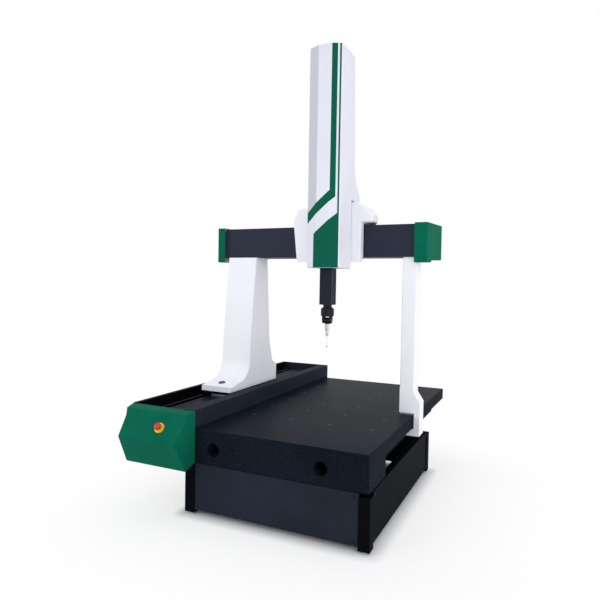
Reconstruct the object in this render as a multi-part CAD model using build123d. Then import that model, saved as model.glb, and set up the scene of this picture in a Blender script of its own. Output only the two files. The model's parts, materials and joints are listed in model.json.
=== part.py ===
from build123d import *
from math import pi
import os

# Moving bridge coordinate measuring machine, in millimetres.
# X runs along the beam, Y along the table and Z up.
# While it is designed, X and Y are zero at the front right corner of the granite
# and Z is zero at the granite's top. save() moves each piece to the final origin,
# on the floor below the middle of the whole machine.

# Granite table
table_width = 945.0
table_depth = 1310.0
table_thickness = 130.0
ledge_thickness = 52.0
ledge_overhang = 60.0
front_block_depth = 195.0
table_edge_chamfer = 3.0
lifting_hole_radius = 26.0
lifting_hole_depth = 140.0
lifting_hole_drop = 73.0
lifting_hole_right_margin = 175.0
lifting_hole_left_margin = 331.0
insert_radius = 7.0
insert_length = 20.0
insert_thread_radius = 4.0
insert_glue_gap = 0.05
insert_columns = 4
insert_rows = 5
insert_pitch = 175.0
insert_right_margin = 87.5
insert_front_margin = 305.0

# Stand
stand_right = 6.0
stand_left_inset = 205.0
stand_left = stand_left_inset - table_width
stand_depth = 930.0
floor_height = -335.0
foot_thickness = 8.0
foot_radius = 17.0
foot_screw_radius = 6.0
foot_screw_length = 45.0
leg_size = 42.0
leg_wall = 4.0
rail_size = 30.0
mount_height = 15.0
mount_radius = 15.0
mount_margin = 100.0
lower_rail_drop = 155.0
panel_setback = 4.0
panel_sheet = 2.0
panel_top_gap = 4.0
panel_floor_gap = 20.0
panel_side_gap = 1.0

# Guide bar on the left of the table
guide_width = 100.0
guide_height = 34.0
guide_margin = 86.0
guide_center = guide_margin - table_width
air_gap = 0.05

# Housing round the guide
housing_overhang = 40.0
housing_depth = table_depth + housing_overhang
housing_height = 68.0
housing_sheet = 3.0
inner_wall_reach = 159.0
inner_wall_right = guide_center + inner_wall_reach
inner_wall_width = 50.0
outer_wall_reach = 141.0
outer_wall_left = guide_center - outer_wall_reach
outer_wall_flange = 20.0
outer_wall_drop = 133.0
outer_wall_foot = 70.0

# Belt drives, one size for all three axes
belt_width = 10.0
belt_thickness = 2.0
belt_gap = 0.3
pulley_radius = 14.0
pulley_width = 12.0
pulley_flange = 2.0
pulley_flange_width = 1.0
pulley_bore_radius = 4.0
pulley_teeth = 20
tooth_depth = 0.9
groove_share = 0.45
shaft_gap = 0.05
motor_size = 44.0
motor_length = 84.0
motor_corner = 4.0
gear_head_radius = 19.0
shaft_engagement = 12.0
clamp_gap = 0.3

# Y drive
y_belt_inset = 29.0
y_belt_left = outer_wall_left + y_belt_inset
y_belt_height = 10.0
y_drive_gap = 2.0
y_drive_place = -motor_size / 2 - y_drive_gap
y_idler_inset = 32.0
y_idler_place = housing_depth - y_idler_inset
y_motor_plate = 6.0
y_plate_offset = 14.0
y_motor_plate_left = y_belt_left + y_plate_offset
y_motor_foot = 50.0
y_motor_foot_drop = 60.0
y_motor_plate_reach = motor_size + y_drive_gap
y_idler_arm = 5.0
end_plate_sheet = 3.0
scale_width = 8.0
scale_thickness = 0.8
y_scale_offset = 92.0
y_scale_place = guide_center + y_scale_offset
head_length = 60.0
head_thickness = 14.0
head_height = 20.0
head_gap = 0.5
x_head_width = 30.0

# Front cap over the drive, with the stop button
cap_wall = 3.0
cap_side_step = 3.0
cap_right = inner_wall_right + cap_side_step
cap_left = outer_wall_left - cap_side_step
cap_taper = 20.0
cap_top_step = 2.0
cap_top = housing_height - cap_top_step
cap_motor_room = 4.0
cap_crease_reach = y_motor_plate_reach + cap_motor_room
cap_crease_drop = 36.0
cap_crease_height = cap_top - cap_crease_drop
cap_brow_setback = 5.0
cap_brow_reach = cap_crease_reach - cap_brow_setback
cap_brow_drop = 8.0
cap_brow_height = cap_top - cap_brow_drop
cap_nose_length = 56.0
cap_nose_reach = cap_crease_reach + cap_nose_length
cap_nose_drop = 72.0
cap_nose_height = cap_crease_height - cap_nose_drop
cap_heel_height = -outer_wall_drop - cap_side_step
cap_chin_reach = 45.0
cap_chin_drop = 22.0
cap_chin_height = cap_heel_height - cap_chin_drop
cap_round = 4.0
stop_inset = 195.0
stop_center_x = cap_left + stop_inset
stop_down_face = 34.0
stop_ring_radius = 20.0
stop_ring_thickness = 5.0
stop_barrel_radius = 11.0
stop_barrel_length = 14.0
stop_nut_radius = 14.0
stop_nut_thickness = 4.0
stop_block_size = 28.0
stop_block_length = 24.0
stop_stem_radius = 6.0
stop_stem_length = 13.0
stop_stem_gap = 0.4
stop_head_radius = 14.0
stop_head_height = 15.0
stop_head_lift = 5.0
stop_head_skirt = 5.0
stop_head_round = 8.0
stop_head_neck_radius = 9.5
stop_peg_radius = 3.0
stop_peg_length = 6.0
stop_peg_gap = 0.05

# Bridge: beam
beam_front = 612.0
beam_depth = 130.0
beam_back = beam_front + beam_depth
beam_bottom = 684.0
beam_height = 142.0
beam_top = beam_bottom + beam_height
beam_overhang = 97.0
beam_left = guide_center - beam_overhang
beam_right = -8.0
beam_wall = 12.0

# Bridge: left leg
leg_cover_width = 158.0
leg_cover_wall = 4.0
leg_cover_round = 6.0
skirt_height = 60.0
skirt_lip_height = 24.0
skirt_lip = skirt_height + skirt_lip_height
foot_reach = 232.0
foot_front = beam_front - foot_reach
foot_length = 450.0
foot_back = foot_front + foot_length
heel_rise = 80.0
heel_height = skirt_height + heel_rise
heel_slope_rise = 25.0
heel_top = heel_height + heel_slope_rise
heel_depth = 45.0
heel_top_place = foot_back - heel_depth
flare_rise = 28.0
flare_height = skirt_lip + flare_rise
flare_reach = 64.0
flare_place = beam_front - flare_reach
flare_round = 90.0
shin_step = 10.0
shin_place = flare_place + shin_step
shin_height = 300.0
calf_depth = 78.0
calf_place = foot_back - calf_depth
calf_height = 270.0
leg_top_reach = 10.0
leg_top_front = beam_front - leg_top_reach
leg_top_setback = 24.0
leg_top_back = beam_back - leg_top_setback
leg_hole_inset = 52.0
leg_hole_place = foot_front + leg_hole_inset
leg_hole_radius = 13.0
inner_leg_width = 118.0
inner_leg_margin = 20.0
inner_leg_window = 70.0
saddle_arm_bottom = 6.0
saddle_inset = 10.0
saddle_front = foot_front + saddle_inset
saddle_back = foot_back - saddle_inset
saddle_lip_gap = 6.0
saddle_head_height = skirt_lip - saddle_lip_gap
saddle_head_inset = 10.0
pad_thickness = 12.0
pad_length = 90.0
top_pad_width = 80.0
side_pad_height = 22.0
side_pad_gap = 3.0
pad_end_margin = 15.0

# Bridge: right leg
post_width = 63.0
post_inset = 6.0
post_front = beam_front + post_inset
post_depth = 78.0
post_wall = 6.0
post_round = 6.0
post_foot_top = 120.0
shoulder_drop = 28.0
shoulder_top = post_foot_top - shoulder_drop
shoulder_slope = 38.0
shoulder_bottom = shoulder_top - shoulder_slope
foot_round = 5.0
foot_sole = 8.0
hook_outside = 25.0
hook_inside = 1.5
hook_jaw_top = -ledge_thickness - foot_sole
hook_jaw_thickness = 30.0
hook_bottom = hook_jaw_top - hook_jaw_thickness
hook_jaw_reach = 33.0
foot_pad_margin = 3.0

# Beam ends
end_plate_thickness = 6.0
beam_cap_wall = 3.0
beam_cap_round = 4.0
beam_cap_front_reach = 22.0
beam_cap_front = beam_front - beam_cap_front_reach
beam_cap_back_reach = 33.0
beam_cap_back = beam_back + beam_cap_back_reach
beam_cap_lift = 4.0
beam_cap_top = beam_top + beam_cap_lift
right_cap_reach = 55.0
right_cap_back_reach = 81.0
left_cap_reach = 39.0
left_cap_back_reach = 62.0
beam_cap_drop = 23.0
beam_cap_bottom_front = beam_bottom - beam_cap_drop
beam_cap_step_inset = 28.0
beam_cap_step_front = beam_front + beam_cap_step_inset
beam_cap_step_run = 15.0
beam_cap_step_back = beam_cap_step_front + beam_cap_step_run
beam_cap_step_rise = 10.0
beam_cap_step_bottom = beam_cap_bottom_front + beam_cap_step_rise
beam_cap_rise = 15.0
beam_cap_bottom_back = beam_cap_bottom_front + beam_cap_rise
cap_notch_gap = 1.0
x_belt_reach = 6.0
x_belt_front = beam_back + x_belt_reach
x_belt_rise = 31.0
x_belt_height = beam_bottom + x_belt_rise
x_pulley_reach = 30.0
x_motor_inset = 10.0
x_motor_front = beam_front + x_motor_inset
x_idler_boss_radius = 12.0

# Carriage
carriage_pad_radius = 24.0
stud_radius = 6.0
stud_length = 6.0
carriage_center = -357.0
carriage_half = 100.0
carriage_front_plate = 22.0
carriage_drop = 16.0
carriage_bottom = beam_bottom - carriage_drop
carriage_rise = 58.0
carriage_top = beam_top + carriage_rise
carriage_rear_plate = 16.0
carriage_rear_drop = 51.0
carriage_rear_bottom = beam_top - carriage_rear_drop
carriage_pad_spread = 70.0
front_pad_inset = 31.0
front_pad_low = beam_bottom + front_pad_inset
front_pad_high = beam_top - front_pad_inset
top_pad_inset = 65.0
top_pad_place = beam_front + top_pad_inset
rear_pad_drop = 26.0
rear_pad_height = beam_top - rear_pad_drop
x_clamp_width = 40.0
x_clamp_plate = 5.0
x_scale_inset = 12.0
x_scale_place = beam_back - x_scale_inset

# Carriage shroud
shroud_sheet = 3.0
shroud_round = 5.0
shroud_front_reach = 47.0
shroud_front = beam_front - shroud_front_reach
shroud_back_reach = 50.0
shroud_back = beam_back + shroud_back_reach
shroud_drop = 24.0
shroud_bottom = beam_bottom - shroud_drop
shroud_left_reach = 190.0
shroud_left_bottom = carriage_center - shroud_left_reach
shroud_left_flare = 20.0
shroud_left_top = shroud_left_bottom - shroud_left_flare
shroud_left_rise = 24.0
shroud_left_shoulder = beam_top + shroud_left_rise
shroud_crown_inset = 25.0
shroud_crown_left = shroud_left_top + shroud_crown_inset
shroud_crown_left_rise = 76.0
shroud_crown_left_height = beam_top + shroud_crown_left_rise
shroud_crown_reach = 92.0
shroud_crown_right = carriage_center + shroud_crown_reach
shroud_crown_right_rise = 100.0
shroud_crown_right_height = beam_top + shroud_crown_right_rise
shroud_shoulder_run = 79.0
shroud_right_shoulder = shroud_crown_right + shroud_shoulder_run
shroud_shoulder_rise = 42.0
shroud_right_shoulder_height = beam_top + shroud_shoulder_rise
shroud_straight_depth = 75.0
shroud_taper_front = shroud_front + shroud_straight_depth
shroud_taper_run = 59.0
shroud_back_left = shroud_left_top + shroud_taper_run
shroud_back_right = shroud_right_shoulder - shroud_taper_run
shroud_skirt_reach = 118.0
shroud_skirt_right = carriage_center + shroud_skirt_reach
shroud_hood_rise = 10.0
shroud_hood_bottom = beam_top + shroud_hood_rise
shroud_rear_drop = 64.0
shroud_rear_bottom = beam_top - shroud_rear_drop
shroud_beam_gap = 6.0
shroud_boss_radius = 8.0
window_half = 72.0
window_gap = 1.0

# Ram and the Z housing's place on the carriage
ram_offset = 3.0
ram_center_x = carriage_center + ram_offset
ram_reach = 132.0
ram_center_y = beam_front - ram_reach
ram_size = 55.0
ram_wall = 6.0
ram_drop = 212.0
ram_bottom = beam_bottom - ram_drop
ram_length = 778.0
ram_top = ram_bottom + ram_length
ram_pad_size = 40.0
ram_pad_thickness = 6.0
pad_stack = air_gap + pad_thickness + stud_length
plate_back = beam_front - pad_stack
plate_front = plate_back - carriage_front_plate

# Z column cover
cover_half = 74.0
cover_flat_half = 27.0
cover_round = 4.0
cover_front_reach = 76.0
cover_front = ram_center_y - cover_front_reach
cover_facet_depth = 21.0
cover_shoulder = cover_front + cover_facet_depth
cover_back_gap = 9.95
cover_back = plate_front - cover_back_gap
cover_top_step = 16.0
cover_back_top = cover_back + cover_top_step
cover_foot_step = 112.0
cover_back_low = cover_back + cover_foot_step
cover_foot_rise = 34.0
cover_sweep_size = 70.0
cover_sweep_round = 150.0
cover_drop = 54.0
cover_bottom = beam_bottom - cover_drop
cover_length = 930.0
cover_top = cover_bottom + cover_length
cover_sheet = 3.0
cover_step_gap = 6.0
cover_step_height = shroud_crown_right_height + cover_step_gap
cover_foot_top = cover_step_height + cover_foot_rise
cover_sweep_place = cover_back_low - cover_sweep_size
cover_sweep_height = cover_foot_top + cover_sweep_size
cover_mouth_half = 36.0

# Z housing and drive
guide_block_half = 42.0
guide_low_rise = 26.0
guide_low_bottom = beam_bottom + guide_low_rise
guide_block_spacing = 170.0
guide_high_bottom = guide_low_bottom + guide_block_spacing
guide_block_height = 70.0
spine_half = 64.0
spine_front_reach = 31.95
spine_front = plate_front - spine_front_reach
spine_drop = 20.0
spine_bottom = beam_bottom - spine_drop
spine_top_gap = 20.0
spine_top = cover_top - spine_top_gap
spine_thick_rise = 16.0
spine_thick_top = carriage_top + spine_thick_rise
spine_taper_rise = 40.0
spine_thin_bottom = spine_thick_top + spine_taper_rise
spine_thin = 16.0
spine_thin_back = spine_front + spine_thin
cover_flange_thickness = 12.0
shelf_drop = 62.0
shelf_height = spine_top - shelf_drop
shelf_thickness = 10.0
shelf_reach = 28.0
shelf_front = ram_center_y - shelf_reach
z_belt_offset = 56.0
z_belt_left = ram_center_x - z_belt_offset
z_pulley_rise = 4.0
z_low_pulley = spine_bottom + z_pulley_rise
z_motor_offset = 20.0
z_motor_left = z_belt_left + z_motor_offset
z_neck_radius = 10.0
z_clamp_height = 12.0
z_clamp_bottom = ram_top - z_clamp_height
z_clamp_reach = 9.0
z_scale_width = 6.0
z_scale_offset = 24.0
z_head_rise = 35.0
z_head_bottom = guide_low_bottom + guide_block_height + z_head_rise
z_head_height = 40.0
z_head_size = 18.0

# Counterbalance inside the ram
rod_radius = 6.0
piston_radius = 14.7
piston_height = 30.0
piston_rise = 30.0
piston_bottom = guide_low_bottom + piston_rise
cylinder_radius = 19.0
cylinder_bore = 15.0
ram_end_thickness = 28.0
cylinder_bottom = ram_bottom + ram_end_thickness
gland_height = 15.0
gland_gap = 0.3

# Probe head
neck_radius = 19.0
neck_height = 12.0
neck_bottom = ram_bottom - neck_height
head_radius = 28.5
head_round = 10.0
head_body_height = 20.0
head_split = neck_bottom - head_body_height
head_groove_lift = 4.0
head_groove_width = 1.2
head_groove_depth = 1.0
swivel_gap = 0.3
swivel_radius = 10.0
swivel_length = 12.0
rotor_height = 19.0
rotor_bottom = head_split - rotor_height
rotor_round = 7.0
cheek_inside = 13.0
cheek_outside = 21.0
cheek_radius = 14.0
cheek_round = 4.0
tilt_drop = 17.0
tilt_height = rotor_bottom - tilt_drop
drum_radius = 13.0
drum_gap = 0.3
tilt_pin_radius = 3.0
tilt_pin_gap = 0.05
nose_radius = 10.0
nose_length = 16.0
probe_top = tilt_height - nose_length
probe_length = 25.0
probe_shoulder = probe_top - probe_length
module_radius = 6.5
module_length = 27.0
module_bottom = probe_shoulder - module_length
probe_wall = 1.5
cavity_height = 10.0
cavity_radius = 5.0
mouth_radius = 3.0
spider_radius = 4.0
spider_height = 2.0
spider_gap = 0.5
stylus_radius = 1.2
stylus_taper_radius = 0.7
stylus_taper_length = 10.0
ball_radius = 3.0
stylus_length = 49.0
stylus_tip = module_bottom - stylus_length

overrun = 2.0

# The final origin, from the pieces that reach furthest
reach_right = beam_right + right_cap_back_reach
reach_left = beam_left - left_cap_back_reach
reach_front = -cap_nose_reach
reach_back = housing_depth + end_plate_sheet
middle_x = (reach_left + reach_right) / 2
middle_y = (reach_front + reach_back) / 2


# Small tools of this script
def save(node, shape):
    """Write one named piece, moved to the final origin."""
    placed = Pos(-middle_x, -middle_y, -floor_height) * shape
    export_step(placed, "parts/" + node + ".step")


def slab(x_span, y_span, z_span):
    """A block between two values on each axis."""
    x0, x1 = x_span
    y0, y1 = y_span
    z0, z1 = z_span
    center = Pos((x0 + x1) / 2, (y0 + y1) / 2, (z0 + z1) / 2)
    return center * Box(abs(x1 - x0), abs(y1 - y0), abs(z1 - z0))


def rod(axis, span, radius, place):
    """A round bar along an axis; place holds the other two coordinates."""
    bar = Cylinder(radius, abs(span[1] - span[0]))
    middle = (span[0] + span[1]) / 2
    if axis == "X":
        return Pos(middle, place[0], place[1]) * Rot(0, 90, 0) * bar
    if axis == "Y":
        return Pos(place[0], middle, place[1]) * Rot(90, 0, 0) * bar
    return Pos(place[0], place[1], middle) * bar


def outline(points):
    """A flat face inside a closed run of straight lines."""
    return make_face(Polyline(*points, close=True))


def corner_at(face, first, second):
    """The corner of a flat face that stands at a given place, ready to be rounded."""
    return face.vertices().sort_by_distance((first, second))[:1]


def along_x(face, x0, x1):
    """A prism whose section, drawn in Y and Z, runs from x0 to x1."""
    return extrude(Plane.YZ.offset(x0) * face, x1 - x0)


def along_y(face, y0, y1):
    """A prism whose section, drawn in X and Z, runs from y0 to y1."""
    return extrude(Plane.XZ.offset(-y0) * face, y0 - y1)


def along_z(face, z0, z1):
    """A prism whose section, drawn in X and Y, runs from z0 to z1."""
    return extrude(Plane.XY.offset(z0) * face, z1 - z0)


def group(solids):
    """Separate solids that share one node."""
    return Compound(children=[piece.solids()[0] for piece in solids])


def rounded(solid, radius, sharp):
    """The solid with its edges rounded, but for those that sharp picks out."""
    soft = [edge for edge in solid.edges() if not sharp(edge.bounding_box())]
    return fillet(soft, radius)


def span_about(center, half):
    """The two ends of a span about its middle."""
    return (center - half, center + half)


# Granite table: one slab, cut away under its right edge behind the front block
def lifting_hole(x):
    """A blind hole in the front face for a lifting bar."""
    return rod("Y", (-overrun, lifting_hole_depth), lifting_hole_radius, (x, -lifting_hole_drop))


def rear_lifting_hole(x):
    """The same hole in the back face."""
    span = (table_depth - lifting_hole_depth, table_depth + overrun)
    return rod("Y", span, lifting_hole_radius, (x, -lifting_hole_drop))


insert_places = []
for column in range(insert_columns):
    for row in range(insert_rows):
        insert_x = -insert_right_margin - column * insert_pitch
        insert_y = insert_front_margin + row * insert_pitch
        insert_places.append((insert_x, insert_y))


def granite_table():
    block = slab((-table_width, 0), (0, table_depth), (-table_thickness, 0))
    undercut = slab(
        (-ledge_overhang, overrun),
        (front_block_depth, table_depth + overrun),
        (-table_thickness - overrun, -ledge_thickness),
    )
    block = chamfer(block.edges().group_by(Axis.Z)[-1], table_edge_chamfer)
    block -= undercut
    for x in (lifting_hole_left_margin - table_width, -lifting_hole_right_margin):
        block -= lifting_hole(x)
        block -= rear_lifting_hole(x)
    for place in insert_places:
        block -= rod("Z", (-insert_length, overrun), insert_radius, place)
    return block


def table_inserts():
    sleeve = []
    for place in insert_places:
        body = rod("Z", (-insert_length, 0), insert_radius - insert_glue_gap, place)
        thread = rod("Z", (-insert_length - overrun, overrun), insert_thread_radius, place)
        sleeve.append(body - thread)
    return group(sleeve)


# Stand: a welded frame of square tube with sheet panels let in between its legs
frame_top = -table_thickness - mount_height
leg_bottom = floor_height + foot_thickness
leg_places = []
for leg_x in (stand_left + leg_size / 2, stand_right - leg_size / 2):
    for leg_y in (leg_size / 2, stand_depth - leg_size / 2):
        leg_places.append((leg_x, leg_y))
rail_inset = leg_size - rail_size
front_rail = (rail_inset, leg_size)
back_rail = (stand_depth - leg_size, stand_depth - rail_inset)
left_rail = (stand_left + rail_inset, stand_left + leg_size)
right_rail = (stand_right - leg_size, stand_right - rail_inset)
rail_levels = (frame_top, frame_top - lower_rail_drop + rail_size)


def leg_tube(place):
    """One leg: a square tube, closed at its top and with a nut plate at its foot."""
    x, y = place
    half = leg_size / 2
    inside = half - leg_wall
    tube = slab(span_about(x, half), span_about(y, half), (leg_bottom, frame_top))
    hollow = slab(
        span_about(x, inside), span_about(y, inside), (leg_bottom + foot_screw_length, frame_top - leg_wall)
    )
    hole_span = (leg_bottom - overrun, leg_bottom + foot_screw_length + overrun)
    screw_hole = rod("Z", hole_span, foot_screw_radius, place)
    return tube - hollow - screw_hole


def stand_frame():
    frame = Part()
    for level in rail_levels:
        height = (level - rail_size, level)
        for y_span in (front_rail, back_rail):
            frame += slab((stand_left + leg_size, stand_right - leg_size), y_span, height)
        for x_span in (left_rail, right_rail):
            frame += slab(x_span, (leg_size, stand_depth - leg_size), height)
    for place in leg_places:
        frame += leg_tube(place)
    return frame


def levelling_feet():
    feet = []
    for place in leg_places:
        disc = rod("Z", (floor_height, leg_bottom), foot_radius, place)
        screw = rod(
            "Z", (leg_bottom, leg_bottom + foot_screw_length), foot_screw_radius - insert_glue_gap, place
        )
        feet.append(disc + screw)
    return group(feet)


def table_mounts():
    mounts = []
    for x in (stand_left + mount_margin, stand_right - mount_margin):
        for y_span in (front_rail, back_rail):
            place = (x, (y_span[0] + y_span[1]) / 2)
            mounts.append(rod("Z", (frame_top, -table_thickness), mount_radius, place))
    return group(mounts)


panel_height = (floor_height + panel_floor_gap, -table_thickness - panel_top_gap)


def tray(x_span, y_span, open_side):
    """A folded sheet panel: a shallow tray, open on the side that faces the rails."""
    outer = slab(x_span, y_span, panel_height)
    faces = outer.faces().sort_by(Axis.Y if open_side[1] else Axis.X)
    mouth = faces[-1] if sum(open_side) > 0 else faces[0]
    return offset(outer, amount=-panel_sheet, openings=mouth)


end_panel_width = (stand_left + leg_size + panel_side_gap, stand_right - leg_size - panel_side_gap)
side_panel_width = (leg_size + panel_side_gap, stand_depth - leg_size - panel_side_gap)


def end_panels():
    front = tray(end_panel_width, (panel_setback, rail_inset), (0, 1))
    back = tray(end_panel_width, (stand_depth - rail_inset, stand_depth - panel_setback), (0, -1))
    return group([front, back])


def side_panels():
    left = tray((stand_left + panel_setback, stand_left + rail_inset), side_panel_width, (1, 0))
    right = tray((stand_right - rail_inset, stand_right - panel_setback), side_panel_width, (-1, 0))
    return group([left, right])


# Guide bar and the housing that shields it
guide_left = guide_center - guide_width / 2
guide_right = guide_center + guide_width / 2
inner_wall_left = inner_wall_right - inner_wall_width


def y_guide_bar():
    return slab((guide_left, guide_right), (0, table_depth), (0, guide_height))


def rail_inner_wall():
    """A folded channel that stands on the table beside the guide."""
    outer = slab((inner_wall_left, inner_wall_right), (0, housing_depth), (0, housing_height))
    hollow = slab(
        (inner_wall_left + housing_sheet, inner_wall_right - housing_sheet),
        (-overrun, housing_depth + overrun),
        (-overrun, housing_height - housing_sheet),
    )
    return outer - hollow


def rail_outer_wall():
    """A folded sheet on the far left, hung from the table's underside by its foot."""
    sheet = (outer_wall_left, outer_wall_left + housing_sheet)
    wall = slab(sheet, (0, housing_depth), (-outer_wall_drop, housing_height))
    flange = slab(
        (outer_wall_left, outer_wall_left + outer_wall_flange),
        (0, housing_depth),
        (housing_height - housing_sheet, housing_height),
    )
    foot = slab(
        (outer_wall_left, outer_wall_left + outer_wall_foot),
        (0, housing_depth),
        (-outer_wall_drop, -outer_wall_drop + housing_sheet),
    )
    return wall + flange + foot


def rail_end_plate():
    """The back plate of the housing, with the fork that holds the idler pulley."""
    plate = slab(
        (outer_wall_left, inner_wall_right),
        (housing_depth, housing_depth + end_plate_sheet),
        (-outer_wall_drop, housing_height),
    )
    arm_back = (y_idler_place - pulley_radius, housing_depth)
    arm_height = span_about(y_belt_height, pulley_radius)
    side_gap = pulley_flange_width
    left_edge = y_belt_left - side_gap - belt_gap
    left_arm = slab((left_edge - y_idler_arm, left_edge), arm_back, arm_height)
    right_edge = y_belt_left + pulley_width + belt_gap - side_gap
    right_arm = slab((right_edge, right_edge + y_idler_arm), arm_back, arm_height)
    return plate + left_arm + right_arm + y_idler_axle()


def y_idler_axle():
    """The axle that the rear pulley turns on."""
    span = (y_belt_left - pulley_flange_width - belt_gap, y_belt_left + pulley_width + belt_gap)
    return rod("X", span, pulley_bore_radius - shaft_gap, (y_idler_place, y_belt_height))


def y_scale():
    """The steel tape that the bridge's reading head follows."""
    return slab(
        span_about(y_scale_place, scale_width / 2), (overrun, table_depth - overrun), (0, scale_thickness)
    )


# Belt, pulley and motor, shared by the three axes
def pulley(axis, start, place, shaft_to=None):
    """A toothed pulley with two flanges, bored for an axle or on its motor's shaft."""
    wheel = Cylinder(pulley_radius, pulley_width)
    groove_width = groove_share * 2 * pi * pulley_radius / pulley_teeth
    groove = Pos(pulley_radius, 0, 0) * Box(2 * tooth_depth, groove_width, pulley_width)
    for turn in range(pulley_teeth):
        wheel -= Rot(0, 0, turn * 360 / pulley_teeth) * groove
    rim = Cylinder(pulley_radius + pulley_flange, pulley_flange_width)
    edge = (pulley_width - pulley_flange_width) / 2
    wheel += Pos(0, 0, edge) * rim
    wheel += Pos(0, 0, -edge) * rim
    if shaft_to is None:
        wheel -= Cylinder(pulley_bore_radius, pulley_width + overrun)
    middle = start + pulley_width / 2
    if axis == "X":
        placed = Pos(middle, place[0], place[1]) * Rot(0, 90, 0) * wheel
    else:
        placed = Pos(place[0], middle, place[1]) * Rot(90, 0, 0) * wheel
    if shaft_to is None:
        return placed
    return placed + rod(axis, (middle, shaft_to), pulley_bore_radius, place)


def belt(axis, start, low, high):
    """A closed belt round two pulleys; low and high are their centres."""
    inner = pulley_radius + belt_gap
    outer = inner + belt_thickness
    run = ((high[0] - low[0]) ** 2 + (high[1] - low[1]) ** 2) ** 0.5
    turn = 90 if high[0] == low[0] else 0
    middle = Pos((low[0] + high[0]) / 2, (low[1] + high[1]) / 2)
    loop = SlotCenterToCenter(run, 2 * outer) - SlotCenterToCenter(run, 2 * inner)
    face = middle * Rot(0, 0, turn) * loop
    if axis == "X":
        return along_x(face, start, start + belt_width)
    return along_y(face, start, start + belt_width)


def motor(axis, body_span, neck_to, neck_radius, place):
    """A servo motor: a square body with rounded edges and a bored neck towards its pulley."""
    half = motor_size / 2
    across = [span_about(value, half) for value in place]
    if axis == "X":
        body = slab(body_span, across[0], across[1])
        body = fillet(body.edges().filter_by(Axis.X), motor_corner)
    else:
        body = slab(across[0], body_span, across[1])
        body = fillet(body.edges().filter_by(Axis.Y), motor_corner)
    near = min(body_span, key=lambda value: abs(value - neck_to))
    body += rod(axis, (near, neck_to), neck_radius, place)
    inward = 1 if near > neck_to else -1
    bore_end = near + inward * (shaft_engagement + shaft_gap)
    return body - rod(axis, (neck_to, bore_end), pulley_bore_radius + shaft_gap, place)


# Y drive: a motor behind the front cap turns the belt in the housing
pulley_edge = (pulley_width - belt_width) / 2
y_pulley_start = y_belt_left - pulley_edge


def y_belt():
    return belt("X", y_belt_left, (y_drive_place, y_belt_height), (y_idler_place, y_belt_height))


def y_drive_pulley():
    return pulley(
        "X", y_pulley_start, (y_drive_place, y_belt_height), y_motor_flange_at + shaft_engagement
    )


def y_idler_pulley():
    return pulley("X", y_pulley_start, (y_idler_place, y_belt_height))


y_motor_flange_at = y_motor_plate_left + y_motor_plate


def y_motor():
    """The motor stands behind its plate, its neck in the plate's hole."""
    body_span = (y_motor_flange_at, y_motor_flange_at + motor_length)
    return motor("X", body_span, y_motor_plate_left, gear_head_radius, (y_drive_place, y_belt_height))


def y_motor_bracket():
    """An angle that bolts to the table's front face and carries the motor."""
    plate = slab(
        (y_motor_plate_left, y_motor_flange_at),
        (-y_motor_plate_reach, 0),
        (y_belt_height - y_motor_foot_drop, y_belt_height + motor_size / 2),
    )
    foot = slab(
        (y_motor_flange_at, y_motor_flange_at + y_motor_foot),
        (-y_motor_plate, 0),
        (y_belt_height - y_motor_foot_drop, y_belt_height - motor_size / 2 - y_motor_plate),
    )
    hole = rod(
        "X",
        (y_motor_plate_left - overrun, y_motor_flange_at + overrun),
        gear_head_radius + shaft_gap,
        (y_drive_place, y_belt_height),
    )
    return plate + foot - hole


# Front cap: the side profile and the plan crossed, then hollowed from the back
cap_side = [
    (0, cap_top),
    (-cap_brow_reach, cap_brow_height),
    (-cap_crease_reach, cap_crease_height),
    (-cap_nose_reach, cap_nose_height),
    (-cap_chin_reach, cap_chin_height),
    (0, cap_heel_height),
]
cap_plan = [
    (cap_left, 0),
    (cap_left + cap_taper, -cap_nose_reach),
    (cap_right - cap_taper, -cap_nose_reach),
    (cap_right, 0),
]
face_run = Vector(0, cap_crease_reach - cap_nose_reach, cap_nose_height - cap_crease_height)
face_down = face_run.normalized()
stop_normal = Vector(0, face_down.Z, -face_down.Y)
stop_center = Vector(stop_center_x, -cap_crease_reach, cap_crease_height) + face_down * stop_down_face
stop_plane = Plane(origin=stop_center, x_dir=Vector(1, 0, 0), z_dir=stop_normal)


def stop_rod(radius, low, high):
    """A round bar on the button's axis, between two heights above the cap's face."""
    return stop_plane * Pos(0, 0, (low + high) / 2) * Cylinder(radius, high - low)


def front_cap():
    outer = along_x(outline(cap_side), cap_left, cap_right) & along_z(
        outline(cap_plan), cap_chin_height - overrun, cap_top + overrun
    )
    mouth = outer.faces().sort_by(Axis.Y)[-1]
    room = outer - offset(outer, amount=-cap_wall, openings=mouth)
    soft = rounded(outer, cap_round, lambda box: box.min.Y > -cap_round)
    return soft - room - stop_rod(stop_barrel_radius + stop_stem_gap, -cap_wall - overrun, overrun)


def estop_base():
    """The ring, the barrel through the cap's wall, its nut and the contact block."""
    base = stop_rod(stop_ring_radius, 0, stop_ring_thickness)
    base += stop_rod(stop_barrel_radius, -stop_barrel_length, 0)
    base += stop_rod(stop_nut_radius, -cap_wall - stop_nut_thickness, -cap_wall)
    block = Box(stop_block_size, stop_block_size, stop_block_length)
    base += stop_plane * Pos(0, 0, -stop_barrel_length - stop_block_length / 2) * block
    well = stop_stem_radius + stop_stem_gap
    return base - stop_rod(well, -stop_barrel_length, stop_ring_thickness + overrun)


stem_bottom = stop_ring_thickness + stop_head_lift - stop_stem_length
stem_top = stop_ring_thickness + stop_head_lift


def estop_stem():
    """The plunger, with a peg on top that the head turns on."""
    stem = stop_rod(stop_stem_radius, stem_bottom, stem_top)
    return stem + stop_rod(stop_peg_radius, stem_top, stem_top + stop_peg_length)


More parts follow.
